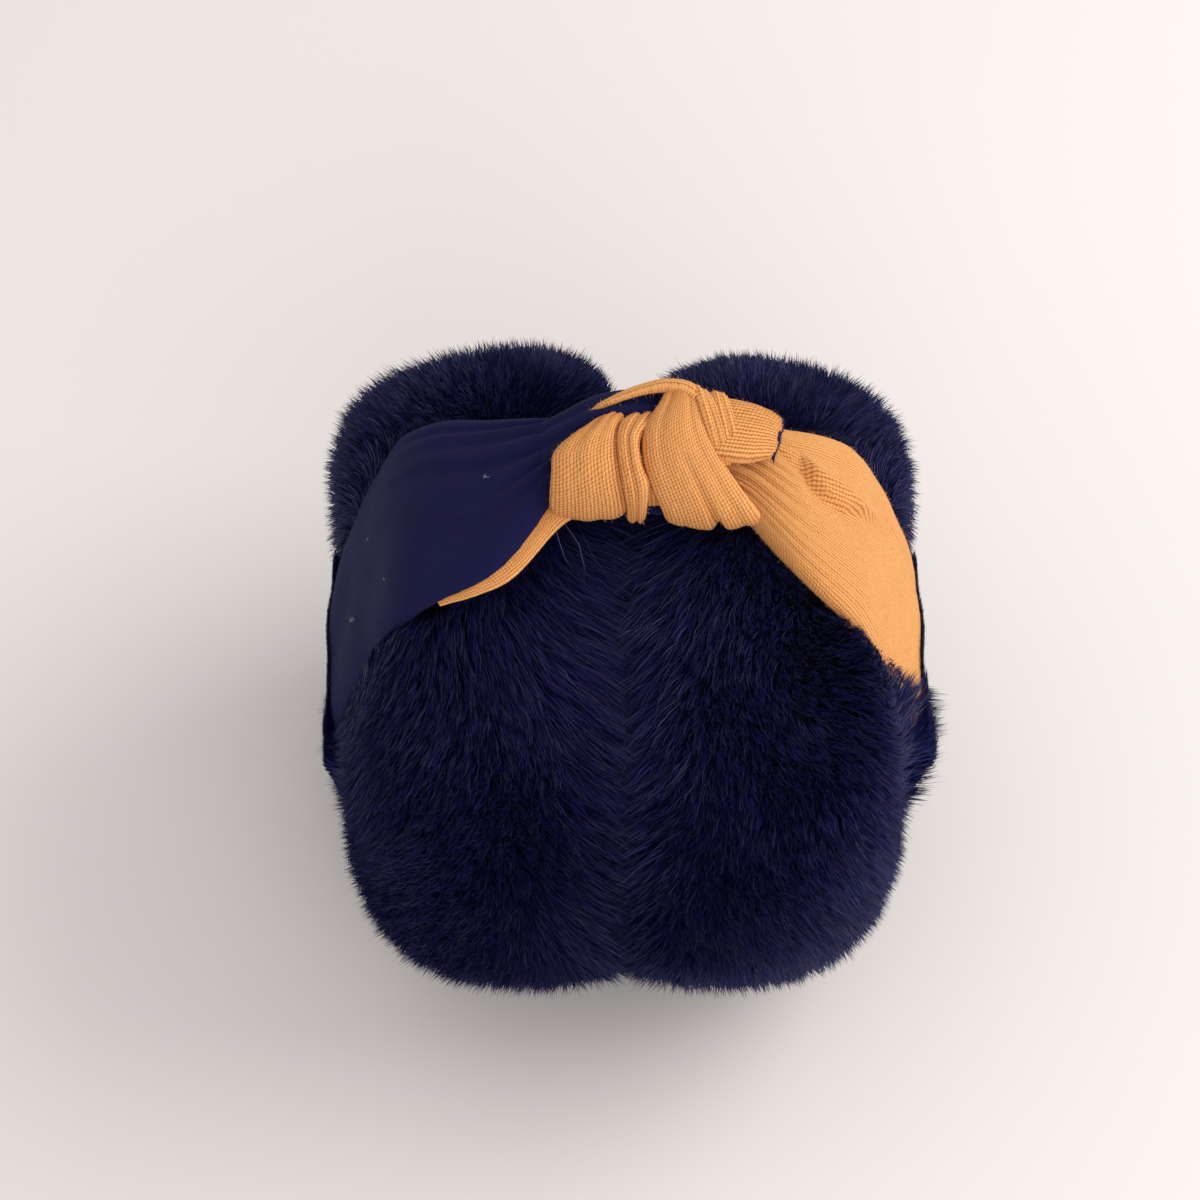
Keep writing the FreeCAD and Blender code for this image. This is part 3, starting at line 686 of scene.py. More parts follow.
def grow_end_tuft(side):
    """Pile round the band's end, brushed up over it from below and across it from the front."""
    rng = np.random.default_rng(61)
    count = TUFT_STRANDS
    y = rng.uniform(-22.0, 21.0, count)
    z = rng.uniform(-9.0, 7.5, count)
    level = np.interp(y, *zip(*TUFT_TOP)) - 9.0 * rng.random(count) ** 1.4
    level += 1.6 * wander(np.stack([y, y, z], axis=1), 5.0, 62)[:, 2]
    below = np.stack([np.full(count, 51.8), y, z], axis=1)
    below_bend = np.stack([58.5 + 0.5 * rng.random(count), y, z + 0.35 * (level - z)], axis=1)
    below_tip = np.stack([58.35 + 0.35 * rng.random(count), y + rng.normal(size=count), level], axis=1)
    y = rng.uniform(-27.0, -21.0, count)
    z = rng.uniform(-7.0, TUFT_FRONT_TOP[side], count)
    across = 1.5 + 13.0 * rng.random(count) ** 1.4
    stand = TUFT_STAND[side] * rng.random(count) ** 1.5 * smoothstep(z, -4.0, 4.0) * smoothstep(z, 13.0, 6.0)
    stand *= np.clip(1.3 - across / 8.0, 0.0, 1.0)
    base = 56.8 + 1.7 * smoothstep(z, -6.0, 4.0) + 0.4 * rng.random(count)
    front = np.stack([np.full(count, 51.6), y, z], axis=1)
    front_bend = np.stack([base + 0.3 + 0.5 * stand, y + 0.45 * across, z + 0.5], axis=1)
    front_tip = np.stack([base + stand, y + across, z + 3.5 * rng.random(count)], axis=1)
    roots = np.concatenate([below, front])
    sway = 0.5 * wander(roots, 9.0, 63) + 0.3 * wander(roots, 3.0, 64)
    sway[:, 0] = np.maximum(sway[:, 0], -0.2)
    bends = np.concatenate([below_bend, front_bend]) + 0.3 * sway
    tips = np.concatenate([below_tip, front_tip]) + sway
    strands = [pad_frame(side, points) for points in (roots, bends, tips)]
    width = 0.34 * (0.75 + 0.5 * rng.random(2 * count)) * MM
    attach(blade_mesh(side + "_end_pile", *strands, width, rng, FUR_TONES["navy"]), side + "_pad")


def soft_solid(name, profile, side, material, seed, unevenness):
    """Cushion turned about the pad's axis with an uneven surface. Profile: (x, radius) in mm."""
    line = smooth_profile(profile, 70)
    turns = 160
    points = revolve(line, turns)
    points += unevenness * (0.6 * wander(points, 9.0, seed) + 0.4 * wander(points, 3.5, seed + 1))
    return outward(mesh_object(name, pad_frame(side, points), ring_faces(len(line), turns), material))


def build_ear_plush(side):
    """Short plush disc that lies against the ear, with its own short pile."""
    piece = soft_solid(side + "_ear_plush", EAR_PLUSH_PROFILE, side, PLUSH, 41, 0.28)
    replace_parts(piece, side + "_ear_lining")
    pile = fuzz(piece, PLUSH_STRANDS, 1.9, 0.22, FUR_TONES["navy"], seed=43)
    for part in (piece, pile):
        attach(part, side + "_pad")


def build_wadding(side):
    """Loose fibre filling inside the fur cover."""
    piece = soft_solid(side + "_fibre_fill", WADDING_PROFILE, side, FILLING, 47, 0.55)
    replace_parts(piece, side + "_wadding")
    attach(piece, side + "_pad")


def build_gather_cord(side):
    """Plaited elastic cord that gathers the edge of the fur cover round the ear side."""
    low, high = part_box(side + "_gather_cord")
    middle = (low + high) / 2 / MM
    thick = (high.x - low.x) / 2 / MM
    around = (high.z - low.z) / 2 / MM - thick
    turns, samples = 540, 18
    angle = np.arange(turns)[:, None] / turns * 2 * math.pi
    turn = np.arange(samples)[None, :] / samples * 2 * math.pi
    radius = thick * (0.82 + 0.18 * np.abs(np.cos(1.5 * (turn + CORD_LAYS * angle))))
    x = middle.x + radius * np.cos(turn)
    reach = around + radius * np.sin(turn)
    points = np.stack([x, middle.y + reach * np.cos(angle), middle.z + reach * np.sin(angle)], axis=-1) * MM
    faces = ring_faces(turns, samples, endless=True)
    piece = outward(mesh_object(side + "_elastic_cord", points, faces, CORD))
    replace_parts(piece, side + "_gather_cord")
    attach(piece, side + "_pad")


def build_fur(side):
    pad_skin(side)
    (roots, bends, tips), rng = grow_fur(side)
    for index, (name, width, share, tone) in enumerate(FUR_PIECES):
        pick = slice(index, None, len(FUR_PIECES))
        widths = width * (0.75 + 0.5 * rng.random(len(roots[pick]))) * MM
        tip = roots[pick] + (tips[pick] - roots[pick]) * share
        piece = blade_mesh(side + "_" + name, roots[pick], bends[pick], tip, widths, rng, FUR_TONES[tone])
        attach(piece, side + "_pad")


# ------------------------------------------------------------------ cloth strips

# Height of the ribs, spacing of the extra rings at each end of the outer cloth, and its thickness, in mm.
RIB_DEPTH = 0.12
BAND_RIB_DEPTH = 0.17
RIM = 0.04
CLOTH = 0.8


def smooth_table(points, reach=5.0):
    """Even table of a value against distance, with its corners rounded over the given reach."""
    step = 0.5
    distance = np.arange(0.0, 125.0, step)
    value = np.interp(distance, *zip(*points))
    kernel = np.hanning(int(2 * reach / step) + 3)
    padded = np.pad(value, len(kernel) // 2, mode="edge")
    return distance, np.convolve(padded, kernel / kernel.sum(), mode="valid")[:len(distance)]


# Front and back edges of the cloth band (mm) against the distance from the crown.
BAND_EDGES = {
    "left": (smooth_table([(8, -4.5), (12.5, -5.5), (15.5, -11.0), (19, -16.0), (23, -20.0), (30, -23.0),
                           (38, -23.6), (60, -22.8), (95, -21.4)]),
             smooth_table([(8, 10.0), (16, 11.5), (27, 13.5), (35, 16.0), (46, 19.5), (60, 22.0),
                           (95, 21.4)])),
    "right": (smooth_table([(12, -4.5), (21.5, -6.5), (24, -10.0), (28.5, -15.0), (31.5, -18.0),
                            (35.5, -21.0), (39.5, -22.8), (46, -23.6), (60, -22.8), (95, -21.4)]),
              smooth_table([(12, 11.0), (29.5, 12.0), (39, 14.0), (50, 18.0), (60, 21.0), (70, 22.0),
                            (95, 21.4)])),
}


def band_edges(side, distance):
    front, back = BAND_EDGES[side]
    return np.interp(distance, *front), np.interp(distance, *back)


def section_shape(half, thick, start, end, samples, power):
    """Even points along part of a rounded flat section, with the outward direction at each.

    Angles run from 0 at the middle of the outer face; positive angles lie towards the back edge."""
    angle = np.radians(np.linspace(start, end, 361))
    sine, cosine = np.sin(angle), np.cos(angle)
    unit_a = np.sign(sine) * np.abs(sine) ** (2.0 / power)
    unit_o = np.sign(cosine) * np.abs(cosine) ** (2.0 / power)
    across = np.empty((len(half), samples))
    out = np.empty((len(half), samples))
    for index in range(len(half)):
        a, o = unit_a * half[index], unit_o * thick[index]
        length = np.concatenate([[0.0], np.cumsum(np.hypot(np.diff(a), np.diff(o)))])
        even = np.linspace(0.0, length[-1], samples)
        across[index] = np.interp(even, length, a)
        out[index] = np.interp(even, length, o)
    slope_a, slope_o = np.gradient(across, axis=1), np.gradient(out, axis=1)
    size = np.hypot(slope_a, slope_o) + 1e-9
    return across, out, -slope_o / size, slope_a / size


def fold_height(u, along, folds):
    """Valleys (mm) that run along the cloth, given as in RIGHT_FOLDS."""
    height = np.zeros(np.broadcast(u, along).shape)
    for track, front_width, back_width, depth in folds:
        middle = np.interp(along, *zip(*track))
        width = np.where(u < middle, front_width, back_width)
        height -= np.interp(along, *zip(*depth)) * np.exp(-((u - middle) / width) ** 2)
    return height


def ripple(u, along, seed, size):
    """Low, soft unevenness of a stuffed cloth strip."""
    rng = np.random.default_rng(seed)
    height = np.zeros(np.broadcast(u, along).shape)
    for _ in range(7):
        wave_u, wave_s, phase = rng.normal() * 3.2, rng.normal() * 0.16, rng.random() * 2 * math.pi
        height += np.sin(u * wave_u + along * wave_s + phase)
    return height * size / 7 ** 0.5


# ------------------------------------------------------------------ band cloth

# Points round the outer and the inner face of the section, how square it is, and its middle above the arch.
OUTER_SAMPLES = 340
INNER_SAMPLES = 60
SECTION_POWER = 2.5
SECTION_MIDDLE = 0.65
# Half angle of the section that the outer cloth covers; the lining takes the rest.
WRAP_ANGLE = 128.0
# Stretch of the arch (mm from the crown) where the band thickens into the knot.
NECK_SPAN = {"left": (14.0, 34.0), "right": (22.0, 42.0)}
# Each fold: track of (distance, u), front width, back width, track of (distance, depth in mm).

RIGHT_FOLDS = [
    ([(20, 0.45), (26.5, 0.41), (31.5, 0.42), (34, 0.20), (36.5, 0.11), (41, 0.06), (56, 0.24), (76, 0.40)],
     0.26, 0.075, [(20, 0.2), (28, 1.4), (34, 2.6), (40, 2.2), (46, 1.3), (56, 0.8), (70, 0.35), (84, 0.0)]),
    ([(20, 0.62), (34, 0.36), (44, 0.22), (60, 0.40)],
     0.05, 0.10, [(20, 0.8), (30, -0.9), (44, -1.0), (60, 0.0)]),
    ([(18, -0.55), (40, -0.50)], 0.07, 0.05, [(18, 1.5), (27, 0.9), (38, 0.0)]),
    ([(18, -0.25), (40, -0.30)], 0.06, 0.07, [(18, 1.6), (26, 1.1), (36, 0.0)]),
    ([(18, -0.02), (40, -0.12)], 0.06, 0.06, [(18, 1.5), (29, 0.7), (37, 0.0)]),
    ([(18, 0.18), (34, 0.16)], 0.06, 0.06, [(18, 1.3), (28, 0.9), (34, 0.0)]),
    ([(18, 0.66), (36, 0.60)], 0.06, 0.07, [(18, 1.3), (30, 0.8), (44, 0.0)]),
    ([(18, -0.82), (62, -0.78)], 0.03, 0.03, [(18, 1.0), (30, 0.45), (46, 0.2), (60, 0.0)]),
    ([(18, -0.93), (62, -0.89)], 0.025, 0.025, [(18, 0.9), (30, 0.4), (48, 0.2), (62, 0.0)]),
    ([(18, -0.69), (50, -0.66)], 0.03, 0.03, [(18, 0.9), (30, 0.35), (42, 0.12), (50, 0.0)]),
    ([(58, 0.42), (70, 0.56), (90, 0.52)], 0.10, 0.05, [(52, 0.0), (64, 0.55), (78, 0.5), (90, 0.1)]),
]
LEFT_FOLDS = [
    ([(8, -0.45), (34, -0.42)], 0.10, 0.12, [(8, 1.3), (16, 0.9), (30, 0.25), (40, 0.0)]),
    ([(8, -0.10), (34, -0.16)], 0.09, 0.11, [(8, 1.4), (16, 1.0), (26, 0.3), (36, 0.0)]),
    ([(8, 0.22), (20, 0.26), (40, 0.36)], 0.12, 0.08, [(8, 1.5), (18, 1.2), (30, 0.7), (44, 0.2), (60, 0.0)]),
    ([(8, 0.58), (40, 0.62)], 0.08, 0.10, [(8, 1.3), (18, 0.9), (34, 0.5), (48, 0.0)]),
    ([(8, 0.84), (50, 0.80)], 0.05, 0.05, [(8, 1.0), (24, 0.7), (44, 0.4), (60, 0.0)]),
    ([(40, -0.35), (80, -0.10)], 0.30, 0.30, [(40, 0.0), (56, 0.5), (80, 0.3), (90, 0.0)]),
]


def band_points(side, distance, across, out):
    """Millimetre points of a section laid on the arch at each distance."""
    x, z = arch(distance[:, None], out)
    return to_frame(SIGN[side] * x, across, z)


def band_section(side, distance, wrap, samples, inset):
    """Part of the band's section at every distance, centred between its two edges."""
    front, back = band_edges(side, distance)
    half = (back - front) / 2 - inset
    neck = 1.0 - smoothstep(distance, *NECK_SPAN[side])
    tail = smoothstep(distance, ARCH_END - 14.0, ARCH_END)
    thick = 3.9 + 0.9 * neck - 0.6 * tail - inset
    across, out, na, no = section_shape(half, thick, wrap[0], wrap[1], samples, SECTION_POWER)
    return across, out, na, no, half, (front + back) / 2


def outer_cloth(side, name, first, last, material):
    """Closed C-shaped shell of the band's outer cloth between two distances from the crown."""
    distance = np.concatenate([[first], np.arange(first + RIM, last - 0.3, 0.55), [last - RIM, last]])
    ribbed = side == "right"
    folds = RIGHT_FOLDS if ribbed else LEFT_FOLDS
    wrap = (-WRAP_ANGLE, WRAP_ANGLE)
    across, out, na, no, half, middle = band_section(side, distance, wrap, OUTER_SAMPLES, 0.0)
    u = across / half[:, None]
    along = distance[:, None]
    sides = smoothstep(np.abs(u), 1.0, 0.90) if ribbed else smoothstep(np.abs(u), 1.0, 0.85)
    top = out > 0.0
    height = fold_height(u, along, folds) * np.where(top, 0.25 + 0.75 * sides, 0.0)
    height += ripple(u, along, 3 if ribbed else 8, 0.16 if ribbed else 0.22) * top
    full = (band_edges(side, 70.0)[1] - band_edges(side, 70.0)[0]) / 2
    arc = np.cumsum(np.hypot(np.diff(across, axis=1, prepend=across[:, :1]),
                             np.diff(out, axis=1, prepend=out[:, :1])), axis=1)
    cloth = (arc - arc[:, -1:] / 2) / half[:, None] * full
    if ribbed:
        height += BAND_RIB_DEPTH * (np.abs(np.sin(math.pi * cloth / RIB_PITCH)) - 0.6)
    outer_a, outer_o = across + na * height, out + no * height
    across_in, out_in, _, _, _, _ = band_section(side, distance, wrap, INNER_SAMPLES, CLOTH)
    u_in = across_in / (half[:, None] - CLOTH)
    dent = fold_height(u_in, along, folds) * (out_in > 0.0) * smoothstep(np.abs(u_in), 1.0, 0.85)
    ring_a = np.concatenate([outer_a, across_in[:, ::-1]], axis=1) + middle[:, None]
    ring_o = np.concatenate([outer_o, (out_in + dent)[:, ::-1]], axis=1) + SECTION_MIDDLE
    piece = mesh_object(name, band_points(side, distance, ring_a, ring_o),
                        ring_faces(len(distance), OUTER_SAMPLES + INNER_SAMPLES), material)
    cloth_in = np.linspace(cloth[:, -1], cloth[:, 0], INNER_SAMPLES).T
    across_mm = np.concatenate([cloth, cloth_in], axis=1)
    mark_cloth(piece, across_mm, along)
    return outward(piece)


def lining_cloth(side, name, first, last, material):
    """Thin shell of the cloth under the band, tucked inside the rolled edges of the outer cloth."""
    distance = np.arange(first, last + 0.01, 0.8)
    distance[-1] = last
    rings = []
    for inset in (CLOTH, CLOTH + 0.6):
        across, out, _, _, _, middle = band_section(side, distance, (112.0, 248.0), 70, inset)
        rings.append((across + middle[:, None], out + SECTION_MIDDLE))
    ring_a = np.concatenate([rings[0][0], rings[1][0][:, ::-1]], axis=1)
    ring_o = np.concatenate([rings[0][1], rings[1][1][:, ::-1]], axis=1)
    piece = mesh_object(name, band_points(side, distance, ring_a, ring_o),
                        ring_faces(len(distance), ring_a.shape[1]), material)
    mark_cloth(piece, ring_a, distance[:, None])
    return outward(piece)


BAND_FIRST = {"left": 6.0, "right": 12.0}
CUFF_END = 90.5
CUFF_SPLIT = 50.0


def build_band(side):
    """Outer cloth and lining of one arm, each in two parts."""
    sleeve = (NAVY, "navy_fabric", NAVY_FUZZ)
    lined = (MUSTARD, "mustard_fabric", MUSTARD_FUZZ)
    if side == "right":
        sleeve, lined = lined, sleeve
    outer_material, outer_slot, fibre = sleeve
    lining_material, lining_slot, _ = lined
    first, end = BAND_FIRST[side], CUFF_END - 0.5
    upper = outer_cloth(side, side + "_band_cloth", first, CUFF_SPLIT, outer_material)
    cuff = outer_cloth(side, side + "_band_cuff", CUFF_SPLIT, CUFF_END, outer_material)
    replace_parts(upper, side + "_outer_sleeve", side + "_band_padding")
    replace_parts(cuff, side + "_outer_sleeve")
    lining = lining_cloth(side, side + "_lining_cloth", first, CUFF_SPLIT, lining_material)
    lining_cuff = lining_cloth(side, side + "_lining_cuff", CUFF_SPLIT, end, lining_material)
    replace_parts(lining, side + "_inner_lining")
    upper_fuzz = fuzz(upper, 5200, 0.6, 0.03, fibre, seed=31)
    cuff_fuzz = fuzz(cuff, 4200, 0.6, 0.03, fibre, seed=32)
    for piece in (upper, lining, upper_fuzz):
        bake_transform(piece)
    for piece in (cuff, lining_cuff, cuff_fuzz):
        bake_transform(piece)


# ------------------------------------------------------------------ knot

KNOT_MIDDLE = np.array([0.0, 0.5, 72.0])
# How far the wrap stands from the knot's middle (mm), to the front or back and upwards.
WRAP_REACH = (11.6, 10.0)


def spline(rows, count):
    """Smooth line through rows of numbers."""
    rows = np.asarray(rows, float)
    padded = np.vstack([2 * rows[0] - rows[1], rows, 2 * rows[-1] - rows[-2]])
    t = np.linspace(0.0, len(rows) - 1.0, count)
    index = np.minimum(t.astype(int), len(rows) - 2)
    f = (t - index)[:, None]
    p0, p1, p2, p3 = (padded[index + k] for k in range(4))
    return 0.5 * (2 * p1 + (p2 - p0) * f + (2 * p0 - 5 * p1 + 4 * p2 - p3) * f ** 2
                  + (3 * p1 - p0 - 3 * p2 + p3) * f ** 3)


def cloth_strip(name, rows, material, folds=(), ribbed=True, along_count=110, seed=1, power=2.3,
                rib_scale=1.0, unevenness=0.12):
    """A padded strip of cloth. Each row: one edge (x, y, z), the other edge (x, y, z), half thickness."""
    table = spline([list(a) + list(b) + [t] for a, b, t in rows], along_count)
    left, right, thick = table[:, :3], table[:, 3:6], table[:, 6]
    centre = (left + right) / 2
    half = np.linalg.norm(right - left, axis=1) / 2
    side = (right - left) / (2 * half[:, None])
    run = np.gradient(centre, axis=0)
    run /= np.linalg.norm(run, axis=1)[:, None]
    normal = np.cross(side, run)
    normal /= np.linalg.norm(normal, axis=1)[:, None]
    middle_row = along_count // 2
    if np.dot(normal[middle_row], centre[middle_row] - KNOT_MIDDLE) < 0:
        normal = -normal
    samples = 280
    across, out, na, no = section_shape(half, np.maximum(thick, 0.2), -180.0, 180.0, samples + 1, power)
    across, out, na, no = (grid[:, :-1] for grid in (across, out, na, no))
    length = np.concatenate([[0.0], np.cumsum(np.linalg.norm(np.diff(centre, axis=0), axis=1))])
    t = np.linspace(0.0, 1.0, along_count)[:, None]
    u = across / half[:, None]
    top = smoothstep(out / np.maximum(thick, 0.2)[:, None], -0.2, 0.3)
    height = fold_height(u, t, folds) * top + ripple(u, length[:, None], seed, unevenness)
    cloth = u * half.max() * rib_scale
    if ribbed:
        height = height + RIB_DEPTH * (np.abs(np.sin(math.pi * cloth / RIB_PITCH)) - 0.6) * top
    a, o = across + na * height, out + no * height
    points = centre[:, None, :] + a[:, :, None] * side[:, None, :] + o[:, :, None] * normal[:, None, :]
    piece = mesh_object(name, to_frame(points[..., 0], points[..., 1], points[..., 2]),
                        ring_faces(along_count, samples), material)
    mark_cloth(piece, cloth, length[:, None])
    return outward(piece)


def wrap_point(angle, x, inset=0.0, drop=0.0):
    """Point of the wrap around the band: angle 0 on top, -90 in front, 90 behind."""
    turn = math.radians(angle)
    y = KNOT_MIDDLE[1] + (WRAP_REACH[0] - inset) * math.sin(turn)
    return x, y, KNOT_MIDDLE[2] - drop + (WRAP_REACH[1] - inset) * math.cos(turn)


def wrap_rows(stations):
    """Rows of a strip that goes round the wrap. Each: angle, first x, second x, half thickness, drop."""
    return [(wrap_point(angle, x0, thick, drop), wrap_point(angle, x1, thick, drop), thick)
            for angle, x0, x1, thick, drop in stations]


def valley(u, width, depth, fade=0.12):
    """A fold with the same place across the whole strip."""
    return [(0.0, u), (1.0, u)], width, width, [(0.0, 0.0), (fade, depth), (1.0 - fade, depth), (1.0, 0.0)]


CROWN_LINING_SPAN = (-15.5, 33.5)


def crown_lining():
    """Soft lined strip under the crown, between the two arms."""
    distance = np.linspace(*CROWN_LINING_SPAN, 100)
    half, thick, depth = np.full(100, 8.8), 1.15, -1.7
    across, out, _, _ = section_shape(half, np.full(100, thick), -180.0, 180.0, 81, 2.6)
    across, out = across[:, :-1], out[:, :-1]
    u = across / half[:, None]
    out = out * (1.0 + 0.16 * ripple(u, distance[:, None], 19, 1.0)) + depth
    x, z = arch(np.abs(distance)[:, None], out)
    x = np.where(distance[:, None] < 0.0, -x, x)
    piece = mesh_object("crown_lining_cloth", to_frame(x, across, z), ring_faces(100, 80), NAVY)
    mark_cloth(piece, across, distance[:, None])
    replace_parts(outward(piece), "crown_lining", "crown_padding")
    return attach(piece, "crown")


# The knot, strip by strip: name, rows, folds, other settings of the strip.
KNOT_STRIPS = [
    ("knot_wrap_front",
     wrap_rows([(44, -2.0, 0.5, 1.2, 5.0), (28, -3.6, 0.2, 1.6, 2.0), (14, -6.4, -1.4, 2.3, 0.4),
                (-2, -10.4, -1.9, 3.0, 0), (-23, -13.6, -1.8, 3.4, 0), (-50, -14.0, -1.2, 3.4, 0),
                (-80, -14.2, -0.2, 3.2, 0.8), (-108, -14.2, 0.2, 2.8, 1.6), (-150, -13.2, 0.0, 2.2, 1.6)]),
     [valley(-0.35, 0.25, 0.35), valley(0.3, 0.2, 0.3)], {}),
    ("knot_wrap_pleat",
     wrap_rows([(44, 0.5, 5.0, 1.2, 4.8), (27, 0.2, 5.4, 1.6, 1.6), (10, -1.6, 4.4, 2.2, 0.2),
                (-8, -2.2, 2.4, 2.5, 0), (-35, -1.8, 2.6, 2.4, 0), (-62, -1.0, 4.0, 2.3, 0),
                (-88, -0.2, 3.8, 2.3, 0.8), (-115, 0.0, 3.6, 2.0, 1.8), (-150, 0.0, 3.4, 1.6, 1.8)]),
     [valley(0.0, 0.22, 0.5)], {}),
    ("knot_wrap_inside",
     [(wrap_point(angle, x0, 4.4, drop), wrap_point(angle, x1, 4.4, drop), 1.5)
      for angle, x0, x1, drop in ((-20, -3.5, 7.0, 0.6), (-60, -3.5, 8.0, 0.6), (-90, -4.0, 9.2, 1.0),
                                  (-125, -4.0, 9.2, 1.6), (-165, -4.0, 9.2, 1.6))],
     [], {"along_count": 50}),
    ("knot_fan",
     [((7.2, 9.6, 79.6), (12.8, 9.6, 79.6), 1.6), ((6.0, 6.6, 80.8), (13.4, 7.0, 80.4), 2.2),
      ((3.0, 1.0, 80.4), (14.6, 1.5, 79.2), 2.8), ((2.8, -4.0, 77.8), (16.8, -2.2, 76.6), 3.2),
      ((4.4, -7.8, 74.4), (20.0, -5.8, 73.0), 3.2), ((6.2, -9.6, 70.4), (23.4, -8.4, 69.2), 3.0),
      ((7.0, -9.0, 66.8), (25.4, -8.6, 66.0), 2.4), ((7.4, -5.8, 64.4), (24.8, -5.6, 63.8), 1.6)],
     [([(0.0, -0.1), (0.5, 0.05), (1.0, 0.12)], 0.10, 0.10, [(0.35, 0.0), (0.62, 0.7), (0.8, 1.7), (1.0, 1.7)]),
      ([(0.0, -0.5), (1.0, -0.62)], 0.10, 0.16, [(0.0, 0.35), (0.3, 0.3), (0.6, 0.1), (1.0, 0.3)]),
      ([(0.0, 0.4), (0.4, 0.55), (1.0, 0.66)], 0.16, 0.10, [(0.0, 0.5), (0.4, 0.35), (0.8, 0.3), (1.0, 0.7)])],
     {"along_count": 140}),
    ("knot_tuck_inner",
     [((10.6, 10.5, 78.0), (14.0, 10.5, 77.0), 1.4), ((11.2, 8.6, 81.0), (15.2, 8.0, 79.6), 1.9),
      ((12.6, 4.2, 80.8), (16.8, 4.4, 79.4), 2.0), ((14.2, 0.0, 78.6), (18.4, 0.4, 77.6), 1.8),
      ((15.6, -3.4, 75.4), (19.4, -3.0, 74.8), 1.2)],
     [valley(0.1, 0.3, 0.5)], {"along_count": 70, "power": 2.0, "unevenness": 0.22}),
    ("knot_tuck_outer",
     [((15.0, 10.6, 75.0), (17.6, 10.4, 74.6), 1.3), ((14.9, 9.0, 79.3), (18.4, 8.6, 78.5), 1.8),
      ((15.6, 4.6, 79.8), (19.4, 4.8, 78.4), 1.8), ((16.8, 0.6, 78.2), (20.0, 1.4, 77.0), 1.5),
      ((17.4, -2.2, 75.8), (19.4, -1.6, 75.2), 0.9)],
     [valley(-0.1, 0.3, 0.4)], {"along_count": 70, "power": 2.0, "unevenness": 0.22}),
    ("knot_tail",
     [((12.0, 9.4, 75.5), (13.0, -2.0, 76.5), 2.2), ((17.0, 10.0, 77.0), (17.6, -3.2, 76.6), 2.7),
      ((22.0, 9.6, 76.6), (21.6, -3.2, 75.8), 2.8), ((26.0, 8.8, 75.4), (24.8, -1.6, 74.4), 2.5),
      ((28.4, 7.8, 74.2), (26.6, -0.2, 73.4), 1.7)],
     [([(0.0, -0.3), (1.0, -0.2)], 0.2, 0.12, [(0.0, 0.5), (0.5, 0.3), (1.0, 0.0)]),
      ([(0.0, 0.35), (1.0, 0.45)], 0.16, 0.16, [(0.0, 0.4), (0.6, 0.2), (1.0, 0.0)])],
     {"along_count": 90}),
    ("knot_wrap_back",
     wrap_rows([(58, -1.5, 12.0, 0.9, -0.6), (70, -7.5, 12.0, 1.3, -0.2), (95, -11.5, 11.5, 1.6, 0.4),
                (125, -11.5, 11.0, 1.6, 0.4), (155, -11.0, 10.5, 1.4, 0)]),
     [valley(-0.3, 0.3, 0.5), valley(0.4, 0.3, 0.5)], {"along_count": 70}),
    ("knot_rim",
     [((-7.6, 6.6, 76.8), (-7.6, 7.2, 76.2), 0.3), ((-5.2, 7.0, 78.7), (-5.2, 7.9, 78.2), 0.45),
      ((-2.6, 7.5, 79.9), (-2.6, 8.9, 79.2), 0.55), ((0.6, 8.2, 80.8), (0.6, 10.2, 79.9), 0.7),
      ((4.0, 8.8, 81.5), (4.0, 11.2, 80.2), 0.9), ((7.5, 8.8, 82.2), (7.5, 11.4, 80.4), 1.3),
      ((11.0, 7.4, 82.2), (11.8, 10.4, 79.8), 1.8), ((13.0, 4.4, 81.0), (14.6, 7.0, 78.8), 1.6)],
     [], {"along_count": 90, "unevenness": 0.1, "rib_scale": 0.8}),
    ("knot_navy_core",
     [((-17.0, 9.5, 68.6), (-17.0, -2.0, 68.8), 2.6), ((-12.0, 10.2, 71.8), (-12.0, -2.0, 72.2), 3.2),
      ((-5.0, 11.4, 76.4), (-5.0, 0.0, 74.6), 3.4), ((3.0, 11.8, 77.6), (3.0, 1.0, 75.4), 3.2),
      ((9.0, 10.6, 77.0), (9.0, 2.0, 74.6), 2.4)],
     [valley(-0.4, 0.2, 0.6), valley(0.3, 0.2, 0.6)], {"along_count": 70, "ribbed": False}),
    ("knot_tail_edge",
     [((28.5, 7.8, 74.6), (28.8, 7.8, 71.8), 0.3), ((28.5, 6.2, 75.4), (28.7, 6.2, 71.8), 0.35),
      ((27.9, 4.6, 75.6), (28.2, 4.6, 71.8), 0.35), ((27.8, 3.0, 75.5), (28.0, 3.0, 71.8), 0.35),
      ((27.0, 1.4, 75.1), (27.4, 1.4, 71.8), 0.35), ((26.7, -0.2, 74.3), (27.0, -0.2, 71.4), 0.3)],
     [], {"along_count": 60, "ribbed": False, "unevenness": 0.2}),
]
KNOT_REPLACES = {"knot_wrap_front": ["knot_wrap"], "knot_fan": ["knot_front_lobe"],
                 "knot_tail": ["knot_rear_lobe", "crown_gather"]}


def build_knot():
    """Each strip of the knot with its own fuzz, all fixed to the crown."""
    for seed, (name, rows, folds, settings) in enumerate(KNOT_STRIPS, start=2):
        navy = not settings.get("ribbed", True)
        piece = cloth_strip(name, rows, NAVY if navy else MUSTARD, folds, seed=seed, **settings)
        fibres = fuzz(piece, 900, 0.6, 0.03, NAVY_FUZZ if navy else MUSTARD_FUZZ, seed=len(name))
        for part in (piece, fibres):
            attach(part, "crown")
        if name in KNOT_REPLACES:
            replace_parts(piece, *KNOT_REPLACES[name])
    crown_lining()


